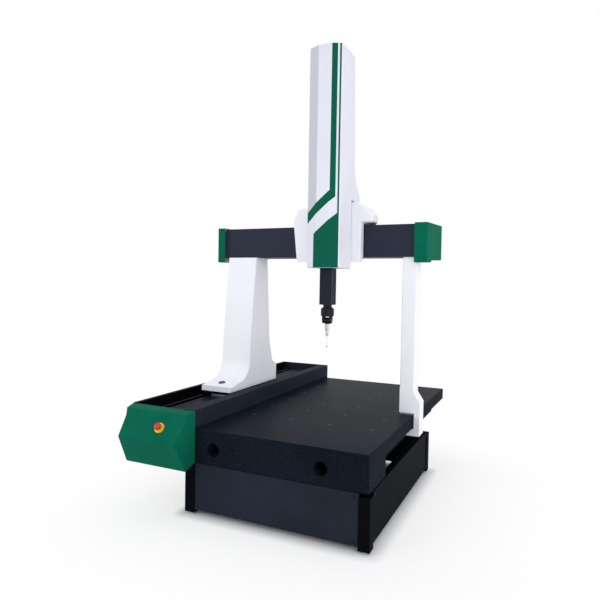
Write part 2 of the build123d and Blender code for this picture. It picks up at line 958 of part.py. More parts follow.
def estop_head():
    """The mushroom head: a cone on a rim, rounded over on top."""
    low = stem_top + clamp_gap
    rim = low + stop_head_skirt
    top = low + stop_head_height
    cone = Cone(stop_head_neck_radius, stop_head_radius, stop_head_skirt)
    cap = Cylinder(stop_head_radius, top - rim)
    cap = fillet(cap.edges().sort_by(Axis.Z)[-1], stop_head_round)
    head = Pos(0, 0, (low + rim) / 2) * cone + Pos(0, 0, (rim + top) / 2) * cap
    peg_top = stem_top + stop_peg_length + clamp_gap
    peg_hole = Pos(0, 0, peg_top / 2) * Cylinder(stop_peg_radius + stop_peg_gap, peg_top)
    return stop_plane * (head - peg_hole)


# Bridge saddle: it spans the guide bar and runs on air pads
arm_inside = guide_width / 2 + air_gap + pad_thickness
saddle_half = leg_cover_width / 2
saddle_head_half = saddle_half - saddle_head_inset
saddle_ceiling = guide_height + air_gap + pad_thickness


def bridge_saddle():
    section = [
        (guide_center - saddle_half, saddle_arm_bottom),
        (guide_center - arm_inside, saddle_arm_bottom),
        (guide_center - arm_inside, saddle_ceiling),
        (guide_center + arm_inside, saddle_ceiling),
        (guide_center + arm_inside, saddle_arm_bottom),
        (guide_center + saddle_half, saddle_arm_bottom),
        (guide_center + saddle_half, skirt_height),
        (guide_center + saddle_head_half, skirt_height),
        (guide_center + saddle_head_half, saddle_head_height),
        (guide_center - saddle_head_half, saddle_head_height),
        (guide_center - saddle_head_half, skirt_height),
        (guide_center - saddle_half, skirt_height),
    ]
    body = along_y(outline(section), saddle_front, saddle_back)
    return body + y_belt_clamp()


def y_belt_clamp():
    """Two fingers from the saddle that grip the belt's upper run."""
    run_bottom = y_belt_height + pulley_radius + belt_gap
    run_top = run_bottom + belt_thickness
    y_span = span_about((saddle_front + saddle_back) / 2, x_clamp_width / 2)
    x_span = (y_belt_left, guide_center - saddle_half)
    lower = slab(x_span, y_span, (run_bottom - clamp_gap - x_clamp_plate, run_bottom - clamp_gap))
    upper = slab(x_span, y_span, (run_top + clamp_gap, run_top + clamp_gap + x_clamp_plate))
    neck_left = y_belt_left + belt_width + clamp_gap
    neck = slab(
        (neck_left, guide_center - saddle_half), y_span, (run_bottom - clamp_gap, run_top + clamp_gap)
    )
    return lower + upper + neck


pad_ends = (
    (saddle_front + pad_end_margin, saddle_front + pad_end_margin + pad_length),
    (saddle_back - pad_end_margin - pad_length, saddle_back - pad_end_margin),
)


def saddle_air_pads():
    pads = []
    side_height = (saddle_arm_bottom + side_pad_gap, saddle_arm_bottom + side_pad_gap + side_pad_height)
    reach = guide_width / 2 + air_gap
    for y_span in pad_ends:
        top_span = span_about(guide_center, top_pad_width / 2)
        pads.append(slab(top_span, y_span, (guide_height + air_gap, saddle_ceiling)))
        pads.append(slab((guide_center - arm_inside, guide_center - reach), y_span, side_height))
        pads.append(slab((guide_center + reach, guide_center + arm_inside), y_span, side_height))
    return group(pads)


cover_outline = [
    (foot_front, skirt_height),
    (foot_front, skirt_lip),
    (flare_place, flare_height),
    (shin_place, shin_height),
    (leg_top_front, beam_bottom),
    (leg_top_back, beam_bottom),
    (calf_place, calf_height),
    (heel_top_place, heel_top),
    (foot_back, heel_height),
    (foot_back, skirt_height),
]


def cover_profile(inset):
    """The leg cover's side profile, with its swept front and a rounded heel."""
    face = outline(cover_outline)
    face = fillet(corner_at(face, flare_place, flare_height), flare_round)
    if inset:
        face = offset(face, amount=-inset)
    return face


def left_leg_cover():
    outer = along_x(cover_profile(0), guide_center - saddle_half, guide_center + saddle_half)
    sides = [edge for edge in outer.edges() if edge.bounding_box().size.X < overrun]
    shown = [edge for edge in sides if skirt_height < edge.center().Z < beam_bottom - overrun]
    outer = fillet(shown, leg_cover_round)
    inner_half = saddle_half - leg_cover_wall
    inner = along_x(cover_profile(leg_cover_wall), guide_center - inner_half, guide_center + inner_half)
    low_mouth = slab(
        span_about(guide_center, inner_half),
        (foot_front + leg_cover_wall, foot_back - leg_cover_wall),
        (skirt_height - overrun, skirt_height + 2 * leg_cover_wall),
    )
    high_mouth = slab(
        span_about(guide_center, inner_half),
        (leg_top_front + leg_cover_wall, leg_top_back - leg_cover_wall),
        (beam_bottom - 2 * leg_cover_wall, beam_bottom + overrun),
    )
    hole = rod("Z", (skirt_height, flare_height * 2), leg_hole_radius, (guide_center, leg_hole_place))
    return outer - inner - low_mouth - high_mouth - hole


def left_leg():
    """The casting inside the cover that carries the beam, with a lightening window."""
    low_front = shin_place + inner_leg_margin
    low_back = calf_place - inner_leg_margin
    top_front = leg_top_front + inner_leg_margin
    top_back = leg_top_back - inner_leg_margin
    side = [
        (low_front, saddle_head_height),
        (top_front, beam_bottom),
        (top_back, beam_bottom),
        (low_back, saddle_head_height),
    ]
    half = inner_leg_width / 2
    body = along_x(outline(side), guide_center - half, guide_center + half)
    window = slab(
        span_about(guide_center, inner_leg_window / 2),
        (low_front - overrun, low_back + overrun),
        (saddle_head_height + inner_leg_window, beam_bottom - inner_leg_window),
    )
    return body - window


# Beam
beam_span = (beam_left, beam_right)


def guide_beam():
    """A hollow extrusion with a rib along its middle."""
    outer = slab(beam_span, (beam_front, beam_back), (beam_bottom, beam_top))
    middle = (beam_bottom + beam_top) / 2
    room = (beam_left - overrun, beam_right + overrun)
    depth = (beam_front + beam_wall, beam_back - beam_wall)
    lower = slab(room, depth, (beam_bottom + beam_wall, middle - beam_wall / 2))
    upper = slab(room, depth, (middle + beam_wall / 2, beam_top - beam_wall))
    return outer - lower - upper


def x_scale():
    return slab(
        (beam_left + overrun, beam_right - overrun),
        span_about(x_scale_place, scale_width / 2),
        (beam_top, beam_top + scale_thickness),
    )


# Right leg: a square tube on a foot that hooks round the table's edge
post_back = post_front + post_depth


def right_post():
    outer = slab((-post_width, 0), (post_front, post_back), (post_foot_top, beam_bottom))
    outer = fillet(outer.edges().filter_by(Axis.Z), post_round)
    hollow = slab(
        (-post_width + post_wall, -post_wall),
        (post_front + post_wall, post_back - post_wall),
        (post_foot_top + post_wall, beam_bottom - post_wall),
    )
    return outer - hollow


def right_foot():
    section = [
        (-post_width, post_foot_top),
        (-post_width, foot_sole),
        (hook_inside, foot_sole),
        (hook_inside, hook_jaw_top),
        (-hook_jaw_reach, hook_jaw_top),
        (-hook_jaw_reach, hook_bottom),
        (hook_outside, hook_bottom),
        (hook_outside, shoulder_bottom),
        (0, shoulder_top),
        (0, post_foot_top),
    ]
    body = along_y(outline(section), post_front, post_back)
    upright = body.edges().filter_by(Axis.Z)
    upper = [edge for edge in upright if edge.bounding_box().min.Z > shoulder_top - overrun]
    return fillet(upper, foot_round)


def foot_air_pads():
    """One pad on the table's top and one below its ledge, so the foot can't lift."""
    y_span = (post_front + foot_pad_margin, post_back - foot_pad_margin)
    upper = slab((-post_width + foot_pad_margin, -foot_pad_margin), y_span, (air_gap, foot_sole))
    jaw_span = (-hook_jaw_reach + foot_pad_margin, -foot_pad_margin)
    lower = slab(jaw_span, y_span, (hook_jaw_top, -ledge_thickness - air_gap))
    return group([upper, lower])


# Beam ends: a plate on each end of the beam carries the drive, a cap covers it
x_pulley_start = x_belt_front - pulley_edge
left_pulley_x = beam_left - x_pulley_reach
cap_side_outline = [
    (beam_cap_front, beam_cap_top),
    (beam_cap_front, beam_cap_bottom_front),
    (beam_cap_step_front, beam_cap_bottom_front),
    (beam_cap_step_back, beam_cap_step_bottom),
    (beam_cap_back, beam_cap_bottom_back),
    (beam_cap_back, beam_cap_top),
]


def beam_cap(beam_end, front_x, back_x):
    """A tapered cap, open towards the beam; its end face runs from front_x to back_x."""
    plan = [
        (beam_end, beam_cap_front),
        (front_x, beam_cap_front),
        (back_x, beam_cap_back),
        (beam_end, beam_cap_back),
    ]
    outer = along_x(outline(cap_side_outline), min(beam_end, back_x), max(beam_end, back_x)) & along_z(
        outline(plan), beam_cap_bottom_front - overrun, beam_cap_top + overrun
    )
    faces = outer.faces().sort_by(Axis.X)
    mouth = faces[0] if back_x > beam_end else faces[-1]
    room = outer - offset(outer, amount=-beam_cap_wall, openings=mouth)
    soft = rounded(
        outer, beam_cap_round, lambda box: box.size.X < overrun and abs(box.min.X - beam_end) < overrun
    )
    return soft - room


def post_notch():
    """The room that the post's top takes below the end of the beam."""
    return slab(
        (beam_right - overrun, cap_notch_gap),
        (post_front - cap_notch_gap, post_back + cap_notch_gap),
        (beam_cap_bottom_front - overrun, beam_bottom),
    )


def beam_cap_right():
    """The right cap, notched where the post stands under the beam."""
    whole = beam_cap(beam_right, beam_right + right_cap_reach, beam_right + right_cap_back_reach)
    return whole - post_notch()


def beam_cap_left():
    return beam_cap(beam_left, beam_left - left_cap_reach, beam_left - left_cap_back_reach)


def end_plate(sign, beam_end):
    """The plate inside a cap: it closes the beam and holds that end's pulley."""
    inner = offset(outline(cap_side_outline), amount=-beam_cap_wall)
    x0 = min(beam_end, beam_end + sign * end_plate_thickness)
    plate = along_x(inner, x0, x0 + end_plate_thickness)
    slot_half = pulley_radius + pulley_flange + belt_gap
    slot = slab(
        (x0 - overrun, x0 + end_plate_thickness + overrun),
        (x_pulley_start - belt_gap, beam_cap_back),
        span_about(x_belt_height, slot_half),
    )
    return plate - slot


def left_end_arm():
    """The arm and axle of the idler pulley at the beam's left end."""
    reach = (left_pulley_x - pulley_radius, beam_left - end_plate_thickness)
    height = span_about(x_belt_height, x_idler_boss_radius)
    arm_front = x_pulley_start - belt_gap - y_idler_arm
    arm = slab(reach, (arm_front, arm_front + y_idler_arm), height)
    axle = rod(
        "Y",
        (arm_front, x_pulley_start + pulley_width),
        pulley_bore_radius - shaft_gap,
        (left_pulley_x, x_belt_height),
    )
    return arm + axle


def beam_end_plates():
    return group([end_plate(1, beam_right) - post_notch(), end_plate(-1, beam_left) + left_end_arm()])


x_drive_place = beam_right + end_plate_thickness + motor_size / 2


def x_motor():
    """The motor lies behind the right end plate, its neck towards the back."""
    body_span = (x_motor_front, x_motor_front + motor_length)
    center = (x_drive_place, x_belt_height)
    return motor("Y", body_span, x_pulley_start - belt_gap, gear_head_radius, center)


def x_drive_pulley():
    shaft_to = x_motor_front + motor_length - shaft_engagement
    return pulley("Y", x_pulley_start, (x_drive_place, x_belt_height), shaft_to)


def x_idler_pulley():
    return pulley("Y", x_pulley_start, (left_pulley_x, x_belt_height))


def x_belt():
    return belt("Y", x_belt_front, (left_pulley_x, x_belt_height), (x_drive_place, x_belt_height))


def y_readhead():
    """The optical head beside the saddle, above the steel tape."""
    x_start = guide_center + saddle_half
    y_middle = (saddle_front + saddle_back) / 2
    return slab(
        (x_start, x_start + head_thickness),
        span_about(y_middle, head_length / 2),
        (scale_thickness + head_gap, scale_thickness + head_gap + head_height),
    )


# Carriage: a bent frame over the beam, on air pads
arm_bottom = beam_top + pad_stack
rear_front = beam_back + pad_stack
rear_back = rear_front + carriage_rear_plate
carriage_span = span_about(carriage_center, carriage_half)


def carriage_frame():
    section = [
        (plate_front, carriage_bottom),
        (plate_back, carriage_bottom),
        (plate_back, arm_bottom),
        (rear_front, arm_bottom),
        (rear_front, carriage_rear_bottom),
        (rear_back, carriage_rear_bottom),
        (rear_back, carriage_top),
        (plate_front, carriage_top),
    ]
    body = along_x(outline(section), carriage_span[0], carriage_span[1])
    for x in span_about(carriage_center, (carriage_half + window_half) / 2):
        for z in (front_pad_low, front_pad_high):
            body += rod("Y", (shroud_front + shroud_sheet, plate_front), shroud_boss_radius, (x, z))
    return body + x_belt_clamp()


def x_belt_clamp():
    """A finger down from the rear plate that grips the belt's upper run."""
    run_bottom = x_belt_height + pulley_radius + belt_gap
    run_top = run_bottom + belt_thickness
    x_span = span_about(carriage_center, x_clamp_width / 2)
    y_inner = x_belt_front + belt_width + clamp_gap
    reach = (x_belt_front, rear_back)
    low = run_bottom - clamp_gap
    high = run_top + clamp_gap
    lower = slab(x_span, reach, (low - x_clamp_plate, low))
    upper = slab(x_span, reach, (high, high + x_clamp_plate))
    web = slab(x_span, (rear_front, rear_back), (low, carriage_rear_bottom))
    grip = slab(x_span, (y_inner, rear_back), (low, high))
    return lower + upper + web + grip


def disc_pad(axis, face, away, place):
    """A round pad with its ball stud; face is the guide face that it rides on."""
    start = face + away * air_gap
    end = start + away * pad_thickness
    pad = rod(axis, (start, end), carriage_pad_radius, place)
    return pad + rod(axis, (end, end + away * stud_length), stud_radius, place)


def ram_pads():
    """Two pads on each face of the ram, one in each guide block."""
    pads = []
    reach = ram_size / 2 + air_gap
    depth = reach + ram_pad_thickness
    half = ram_pad_size / 2
    for bottom in (guide_low_bottom, guide_high_bottom):
        middle = bottom + guide_block_height / 2
        z_span = span_about(middle, half)
        across_x = span_about(ram_center_x, half)
        across_y = span_about(ram_center_y, half)
        pads.append(slab((ram_center_x - depth, ram_center_x - reach), across_y, z_span))
        pads.append(slab((ram_center_x + reach, ram_center_x + depth), across_y, z_span))
        pads.append(slab(across_x, (ram_center_y - depth, ram_center_y - reach), z_span))
        pads.append(slab(across_x, (ram_center_y + reach, ram_center_y + depth), z_span))
    return pads


def carriage_air_pads():
    pads = []
    for x in span_about(carriage_center, carriage_pad_spread):
        for z in (front_pad_low, front_pad_high):
            pads.append(disc_pad("Y", beam_front, -1, (x, z)))
        pads.append(disc_pad("Z", beam_top, 1, (x, top_pad_place)))
        pads.append(disc_pad("Y", beam_back, 1, (x, rear_pad_height)))
    return group(pads + ram_pads())


def x_readhead_block():
    """The head above the beam's tape, hung from the frame's arm."""
    return slab(
        span_about(carriage_center, x_head_width / 2),
        span_about(x_scale_place, head_thickness / 2),
        (beam_top + scale_thickness + head_gap, arm_bottom),
    )


def z_readhead_block():
    """The head beside the ram's tape, on the Z housing."""
    x_start = ram_center_x + ram_size / 2 + scale_thickness + head_gap
    y_low = ram_center_y - z_scale_offset - z_head_size / 2
    z_span = (z_head_bottom, z_head_bottom + z_head_height)
    return slab((x_start, x_start + z_head_size), (y_low, spine_front), z_span)


def carriage_readheads():
    return group([x_readhead_block(), z_readhead_block()])


# Carriage shroud: a sheet cover over the frame, open below and over the beam
shroud_front_outline = [
    (shroud_left_bottom, shroud_bottom),
    (shroud_left_top, shroud_left_shoulder),
    (shroud_crown_left, shroud_crown_left_height),
    (shroud_crown_right, shroud_crown_right_height),
    (shroud_right_shoulder, shroud_right_shoulder_height),
    (shroud_right_shoulder, shroud_hood_bottom),
    (shroud_skirt_right, shroud_hood_bottom),
    (shroud_skirt_right, shroud_bottom),
]
shroud_plan = [
    (shroud_left_top, shroud_front),
    (shroud_right_shoulder, shroud_front),
    (shroud_right_shoulder, shroud_taper_front),
    (shroud_back_right, shroud_back),
    (shroud_back_left, shroud_back),
    (shroud_left_top, shroud_taper_front),
]


def shroud_form(inset):
    """The shroud's whole outer form, narrower towards its back, or the room inside it."""
    front = outline(shroud_front_outline)
    plan = outline(shroud_plan)
    if inset:
        front = offset(front, amount=-inset)
        plan = offset(plan, amount=-inset)
    z_span = (shroud_bottom, shroud_crown_right_height)
    return along_y(front, shroud_front, shroud_back) & along_z(plan, z_span[0], z_span[1])


def carriage_shroud():
    outer = rounded(
        shroud_form(0),
        shroud_round,
        lambda box: box.min.Y > shroud_back - overrun or box.max.Z < shroud_bottom + overrun,
    )
    inner = shroud_form(shroud_sheet)
    gap = shroud_beam_gap
    tunnel = slab(
        (shroud_left_top - overrun, shroud_right_shoulder + overrun),
        (beam_front - gap, beam_back + gap),
        (shroud_bottom - overrun, beam_top + gap),
    )
    leg_room = slab(
        (shroud_left_top - overrun, shroud_right_shoulder + overrun),
        (leg_top_front - gap, beam_front),
        (shroud_bottom - overrun, beam_bottom),
    )
    behind = slab(
        (shroud_left_top - overrun, shroud_right_shoulder + overrun),
        (beam_back, shroud_back + overrun),
        (shroud_bottom - overrun, shroud_rear_bottom),
    )
    under = slab(
        (shroud_left_bottom + shroud_sheet, shroud_skirt_right - shroud_sheet),
        (shroud_front + shroud_sheet, beam_front),
        (shroud_bottom - overrun, shroud_bottom + 2 * shroud_sheet),
    )
    window = slab(
        span_about(carriage_center, window_half),
        (shroud_front - overrun, plate_front + window_gap),
        (shroud_bottom - overrun, shroud_crown_right_height),
    )
    return outer - inner - tunnel - leg_room - behind - under - window


# Z column cover: plan and side profile crossed, then hollowed
cover_plan = [
    (carriage_center - cover_flat_half, cover_front),
    (carriage_center + cover_flat_half, cover_front),
    (carriage_center + cover_half, cover_shoulder),
    (carriage_center + cover_half, cover_back_low),
    (carriage_center - cover_half, cover_back_low),
    (carriage_center - cover_half, cover_shoulder),
]
cover_side = [
    (cover_front, cover_bottom),
    (cover_back, cover_bottom),
    (cover_back, cover_step_height),
    (cover_back_low, cover_step_height),
    (cover_back_low, cover_foot_top),
    (cover_sweep_place, cover_sweep_height),
    (cover_back_top, cover_top),
    (cover_front, cover_top),
]


def cover_form(inset):
    """The cover's whole outer form, or the room inside it."""
    plan = outline(cover_plan)
    side = outline(cover_side)
    side = fillet(corner_at(side, cover_sweep_place, cover_sweep_height), cover_sweep_round)
    if inset:
        plan = offset(plan, amount=-inset)
        side = offset(side, amount=-inset)
    x_span = span_about(carriage_center, cover_half)
    form = along_x(side, x_span[0], x_span[1]) & along_z(plan, cover_bottom, cover_top)
    if inset:
        return form
    joined = cover_step_height + overrun
    return rounded(form, cover_round, lambda box: box.max.Z < joined and box.min.Y > cover_shoulder)


def cover_shell():
    """The hollow cover, with a mouth below for the ram and an open lower back."""
    mouth = slab(
        span_about(ram_center_x, cover_mouth_half),
        span_about(ram_center_y, cover_mouth_half),
        (cover_bottom - overrun, cover_bottom + 2 * cover_sheet),
    )
    lower_back = slab(
        span_about(carriage_center, cover_half - cover_sheet),
        (cover_back - 2 * cover_sheet, cover_back + overrun),
        (cover_bottom + cover_sheet, cover_step_height - cover_sheet),
    )
    sill = slab(
        span_about(carriage_center, window_half - cover_sheet),
        (cover_back - 2 * cover_sheet, cover_back_low + overrun),
        (cover_step_height - overrun - cover_sheet, cover_step_height + 2 * cover_sheet),
    )
    return cover_form(0) - cover_form(cover_sheet) - mouth - lower_back - sill


def rear_zone():
    """The space that the rear half of the cover takes from the whole."""
    return slab(
        span_about(carriage_center, cover_half - cover_sheet),
        (spine_front + cover_sheet, cover_back_low + overrun),
        (cover_step_height, cover_top - cover_sheet),
    )


def z_cover_front():
    return cover_shell() - rear_zone()


def z_cover_rear():
    """The removable back plate of the column."""
    return cover_shell() & rear_zone()


# Z housing: a spine with two guide blocks, a shelf for the motor and a pulley arm
def on_ram_axis(half, z_span):
    """A square block about the ram's axis."""
    return slab(span_about(ram_center_x, half), span_about(ram_center_y, half), z_span)


def guide_block(bottom):
    """A square frame round the ram that holds its pads."""
    z_span = (bottom, bottom + guide_block_height)
    block = slab(
        span_about(ram_center_x, guide_block_half), (ram_center_y - guide_block_half, spine_front), z_span
    )
    hole = ram_size / 2 + air_gap + ram_pad_thickness
    room = on_ram_axis(hole, (bottom - overrun, z_span[1] + overrun))
    return block - room


z_arm_left = z_belt_left - pulley_edge - belt_gap - y_idler_arm


def z_housing():
    spine_side = [
        (spine_front, spine_bottom),
        (plate_front, spine_bottom),
        (plate_front, spine_thick_top),
        (spine_thin_back, spine_thin_bottom),
        (spine_thin_back, spine_top),
        (spine_front, spine_top),
    ]
    body = along_x(outline(spine_side), carriage_center - spine_half, carriage_center + spine_half)
    flange_span = span_about(carriage_center, cover_half - cover_sheet)
    for bottom in (spine_bottom, spine_top - cover_flange_thickness):
        body += slab(flange_span, (spine_front, spine_thin_back), (bottom, bottom + cover_flange_thickness))
    body += guide_block(guide_low_bottom)
    body += guide_block(guide_high_bottom)
    body += slab(
        (z_motor_left, carriage_center + spine_half),
        (shelf_front, spine_front),
        (shelf_height, shelf_height + shelf_thickness),
    )
    arm_height = span_about(z_low_pulley, stop_barrel_radius)
    body += slab(
        (z_arm_left, z_arm_left + y_idler_arm), (ram_center_y - stop_barrel_radius, plate_front), arm_height
    )
    axle_span = (z_arm_left, z_belt_left + pulley_width - pulley_edge)
    body += rod("X", axle_span, pulley_bore_radius - shaft_gap, (ram_center_y, z_low_pulley))
    return body


z_drive_height = shelf_height + shelf_thickness + motor_size / 2


def z_motor():
    """The motor rests on the shelf and drives the belt on its left."""
    body_span = (z_motor_left, z_motor_left + motor_length)
    neck_to = z_belt_left - pulley_edge + pulley_width + belt_gap
    return motor("X", body_span, neck_to, z_neck_radius, (ram_center_y, z_drive_height))


def z_drive_pulley():
    shaft_to = z_motor_left + shaft_engagement
    return pulley("X", z_belt_left - pulley_edge, (ram_center_y, z_drive_height), shaft_to)


def z_idler_pulley():
    return pulley("X", z_belt_left - pulley_edge, (ram_center_y, z_low_pulley))


def z_belt():
    return belt("X", z_belt_left, (ram_center_y, z_low_pulley), (ram_center_y, z_drive_height))


# Counterbalance: a fixed piston inside a cylinder that rises with the ram
def counterbalance_piston():
    ram_axis = (ram_center_x, ram_center_y)
    piston = rod("Z", (piston_bottom, piston_bottom + piston_height), piston_radius, ram_axis)
    return piston + rod("Z", (piston_bottom, shelf_height), rod_radius, ram_axis)


def counterbalance_cylinder():
    """The cylinder, with the collars that centre it in the ram and its gland."""
    ram_axis = (ram_center_x, ram_center_y)
    tube = rod("Z", (cylinder_bottom, ram_top), cylinder_radius, ram_axis)
    inside = ram_size / 2 - ram_wall - insert_glue_gap
    for start in (cylinder_bottom, ram_top - gland_height):
        tube += on_ram_axis(inside, (start, start + gland_height))
    bore_span = (cylinder_bottom + gland_height, ram_top - gland_height)
    tube -= rod("Z", bore_span, cylinder_bore, ram_axis)
    gland_span = (ram_top - gland_height - overrun, ram_top + overrun)
    tube -= rod("Z", gland_span, rod_radius + gland_gap, ram_axis)
    return tube


# Ram
def ram():
    """A square tube, closed at its foot, with the belt clamp at its head."""
    outer = on_ram_axis(ram_size / 2, (ram_bottom, ram_top))
    hollow = on_ram_axis(ram_size / 2 - ram_wall, (cylinder_bottom, ram_top + overrun))
    return outer - hollow + z_belt_clamp()


def z_belt_clamp():
    """Two fingers that grip the front run of the belt."""
    run_front = ram_center_y - pulley_radius - belt_gap - belt_thickness
    run_back = run_front + belt_thickness
    x_span = (z_belt_left, ram_center_x - ram_size / 2)
    z_span = (z_clamp_bottom, z_clamp_bottom + z_clamp_height)
    front = slab(x_span, (run_front - clamp_gap - z_clamp_reach, run_front - clamp_gap), z_span)
    back = slab(x_span, (run_back + clamp_gap, run_back + clamp_gap + z_clamp_reach), z_span)
    neck = slab(
        (z_belt_left + belt_width + clamp_gap, ram_center_x - ram_size / 2),
        (run_front - clamp_gap, run_back + clamp_gap),
        z_span,
    )
    return front + back + neck


def z_scale():
    x_start = ram_center_x + ram_size / 2
    return slab(
        (x_start, x_start + scale_thickness),
        span_about(ram_center_y - z_scale_offset, z_scale_width / 2),
        (ram_bottom + overrun, ram_top - overrun),
    )


# Probe head
head_axis = (ram_center_x, ram_center_y)


def probe_head_body():
    """The fixed upper half of the head, bored for the swivel."""
    body = rod("Z", (head_split, neck_bottom), head_radius, head_axis)
    body = fillet(body.edges().group_by(Axis.Z)[-1], head_round)
    groove_bottom = head_split + head_groove_lift
    groove_span = (groove_bottom, groove_bottom + head_groove_width)
    core = rod("Z", groove_span, head_radius - head_groove_depth, head_axis)
    body -= rod("Z", groove_span, head_radius + overrun, head_axis) - core
    body += rod("Z", (neck_bottom, ram_bottom), neck_radius, head_axis)
    bore_top = head_split + swivel_length + swivel_gap
    return body - rod("Z", (head_split - overrun, bore_top), swivel_radius + shaft_gap, head_axis)


def fork_cheek(side):
    """One cheek of the fork, rounded along its outer rim and bored for the pin."""
    middle = (tilt_height + rotor_bottom) / 2
    shank = Pos(ram_center_y, middle) * Rectangle(2 * cheek_radius, rotor_bottom - tilt_height)
    pin_place = Pos(ram_center_y, tilt_height)
    face = shank + pin_place * Circle(cheek_radius) - pin_place * Circle(tilt_pin_radius)
    ends = sorted((ram_center_x + side * cheek_inside, ram_center_x + side * cheek_outside))
    cheek = along_x(face, ends[0], ends[1])
    rim = []
    for edge in cheek.edges().group_by(Axis.X)[-1 if side > 0 else 0]:
        box = edge.bounding_box()
        if box.size.Z > 2 * tilt_pin_radius + overrun:
            rim.append(edge)
    return fillet(rim, cheek_round)


def head_rotor():
    """The turning lower half: a disc, its spigot and the two cheeks of a fork."""
    top = head_split - swivel_gap
    body = rod("Z", (rotor_bottom, top), head_radius, head_axis)
    body = fillet(body.edges().group_by(Axis.Z)[0], rotor_round)
    body += rod("Z", (top, top + swivel_length), swivel_radius, head_axis)
    for side in (-1, 1):
        body += fork_cheek(side)
    return body


def tilt_pin():
    return rod("X", span_about(ram_center_x, cheek_outside), tilt_pin_radius, (ram_center_y, tilt_height))


def head_tilt():
    """The drum between the cheeks, with the socket that the probe screws into."""
    half = cheek_inside - drum_gap
    body = rod("X", span_about(ram_center_x, half), drum_radius, (ram_center_y, tilt_height))
    body += rod("Z", (probe_top, tilt_height), nose_radius, head_axis)
    hole_span = span_about(ram_center_x, half + overrun)
    return body - rod("X", hole_span, tilt_pin_radius + tilt_pin_gap, (ram_center_y, tilt_height))


def probe_body():
    """The probe: a round body over a narrower module, hollow where the stylus tips."""
    profile = [
        (0, probe_top),
        (nose_radius, probe_top),
        (nose_radius, probe_shoulder + probe_wall),
        (nose_radius - probe_wall, probe_shoulder),
        (module_radius, probe_shoulder),
        (module_radius, module_bottom + cavity_height),
        (module_radius - probe_wall / 2, module_bottom),
        (mouth_radius, module_bottom),
        (mouth_radius, module_bottom + probe_wall),
        (cavity_radius, module_bottom + probe_wall),
        (cavity_radius, module_bottom + cavity_height),
        (0, module_bottom + cavity_height),
    ]
    spun = revolve(Plane.XZ * outline(profile), Axis.Z)
    return Pos(ram_center_x, ram_center_y) * spun


spider_bottom = module_bottom + probe_wall + spider_gap
ball_center = stylus_tip + ball_radius


def stylus_stem():
    """The stylus: its seat plate in the module, a tapering collar and a thin stem."""
    plate = rod("Z", (spider_bottom, spider_bottom + spider_height), spider_radius, head_axis)
    collar_bottom = module_bottom - stylus_taper_length
    upper = rod("Z", (collar_bottom, spider_bottom), stylus_radius, head_axis)
    lower = rod("Z", (ball_center + ball_radius, collar_bottom), stylus_taper_radius, head_axis)
    return plate + upper + lower


def stylus_ball():
    return Pos(ram_center_x, ram_center_y, ball_center) * Sphere(ball_radius)


pieces = [
    granite_table,
    table_inserts,
    stand_frame,
    levelling_feet,
    table_mounts,
    end_panels,
    side_panels,
    y_guide_bar,
    rail_inner_wall,
    rail_outer_wall,
    rail_end_plate,
    y_scale,
    y_belt,
    y_drive_pulley,
    y_idler_pulley,
    y_motor,
    y_motor_bracket,
    front_cap,
    estop_base,
    estop_stem,
    estop_head,
    bridge_saddle,
    saddle_air_pads,
    left_leg_cover,
    left_leg,
    guide_beam,
    x_scale,
    right_post,
    right_foot,
    foot_air_pads,
    beam_cap_right,
    beam_cap_left,
    beam_end_plates,
    x_motor,
    x_drive_pulley,
    x_idler_pulley,
    x_belt,
    y_readhead,
    carriage_frame,
    carriage_air_pads,
    carriage_readheads,
    carriage_shroud,
    z_cover_front,
    z_cover_rear,
    z_housing,
    z_motor,
    z_drive_pulley,
    z_idler_pulley,
    z_belt,
    counterbalance_piston,
    counterbalance_cylinder,
    ram,
    z_scale,
    probe_head_body,
    head_rotor,
    tilt_pin,
    head_tilt,
    probe_body,
    stylus_stem,
    stylus_ball,
]

os.makedirs("parts", exist_ok=True)
for make in pieces:
    save(make.__name__, make())
print(len(pieces), "nodes written")
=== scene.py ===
# %% [markdown]
# This scene dresses a bridge coordinate measuring machine.
# Its rigid pieces come from the imported model and stay where they are.
# Blender gives them their finishes, and adds the thin things that the model leaves out:
# vinyl stripes, screw heads, the rubber lip of a hole and the arrows on the stop button.
# The first cell loads the model and moves the place of each piece into its mesh.

# %% Load the machine
import json
import math

import bpy
from mathutils import Matrix, Vector


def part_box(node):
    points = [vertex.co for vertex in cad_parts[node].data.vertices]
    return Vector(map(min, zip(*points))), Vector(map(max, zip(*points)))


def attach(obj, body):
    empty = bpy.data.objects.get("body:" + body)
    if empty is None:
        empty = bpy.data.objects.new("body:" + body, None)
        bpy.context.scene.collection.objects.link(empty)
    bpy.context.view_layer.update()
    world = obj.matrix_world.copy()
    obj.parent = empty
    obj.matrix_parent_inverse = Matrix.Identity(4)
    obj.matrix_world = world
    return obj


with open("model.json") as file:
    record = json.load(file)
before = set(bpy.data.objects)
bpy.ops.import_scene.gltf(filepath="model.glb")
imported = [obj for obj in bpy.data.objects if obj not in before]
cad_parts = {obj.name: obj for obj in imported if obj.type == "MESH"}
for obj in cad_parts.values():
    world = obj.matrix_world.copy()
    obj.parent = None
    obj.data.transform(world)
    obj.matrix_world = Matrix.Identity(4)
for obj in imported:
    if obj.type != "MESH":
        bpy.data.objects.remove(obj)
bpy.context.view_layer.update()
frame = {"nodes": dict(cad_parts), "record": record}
nodes = frame["nodes"]
print("pieces in the model:", len(nodes))

# %% [markdown]
# The camera stands where the photographer stood: to the right of the machine and slightly above its table.
# Its place was worked out from the corners of the table, the beam and the column.
# The three turns are the camera's own: how far it looks to the left, how far down, and how it leans.
# A matrix built from them, one turn after the other, is easier to read than three Euler angles.

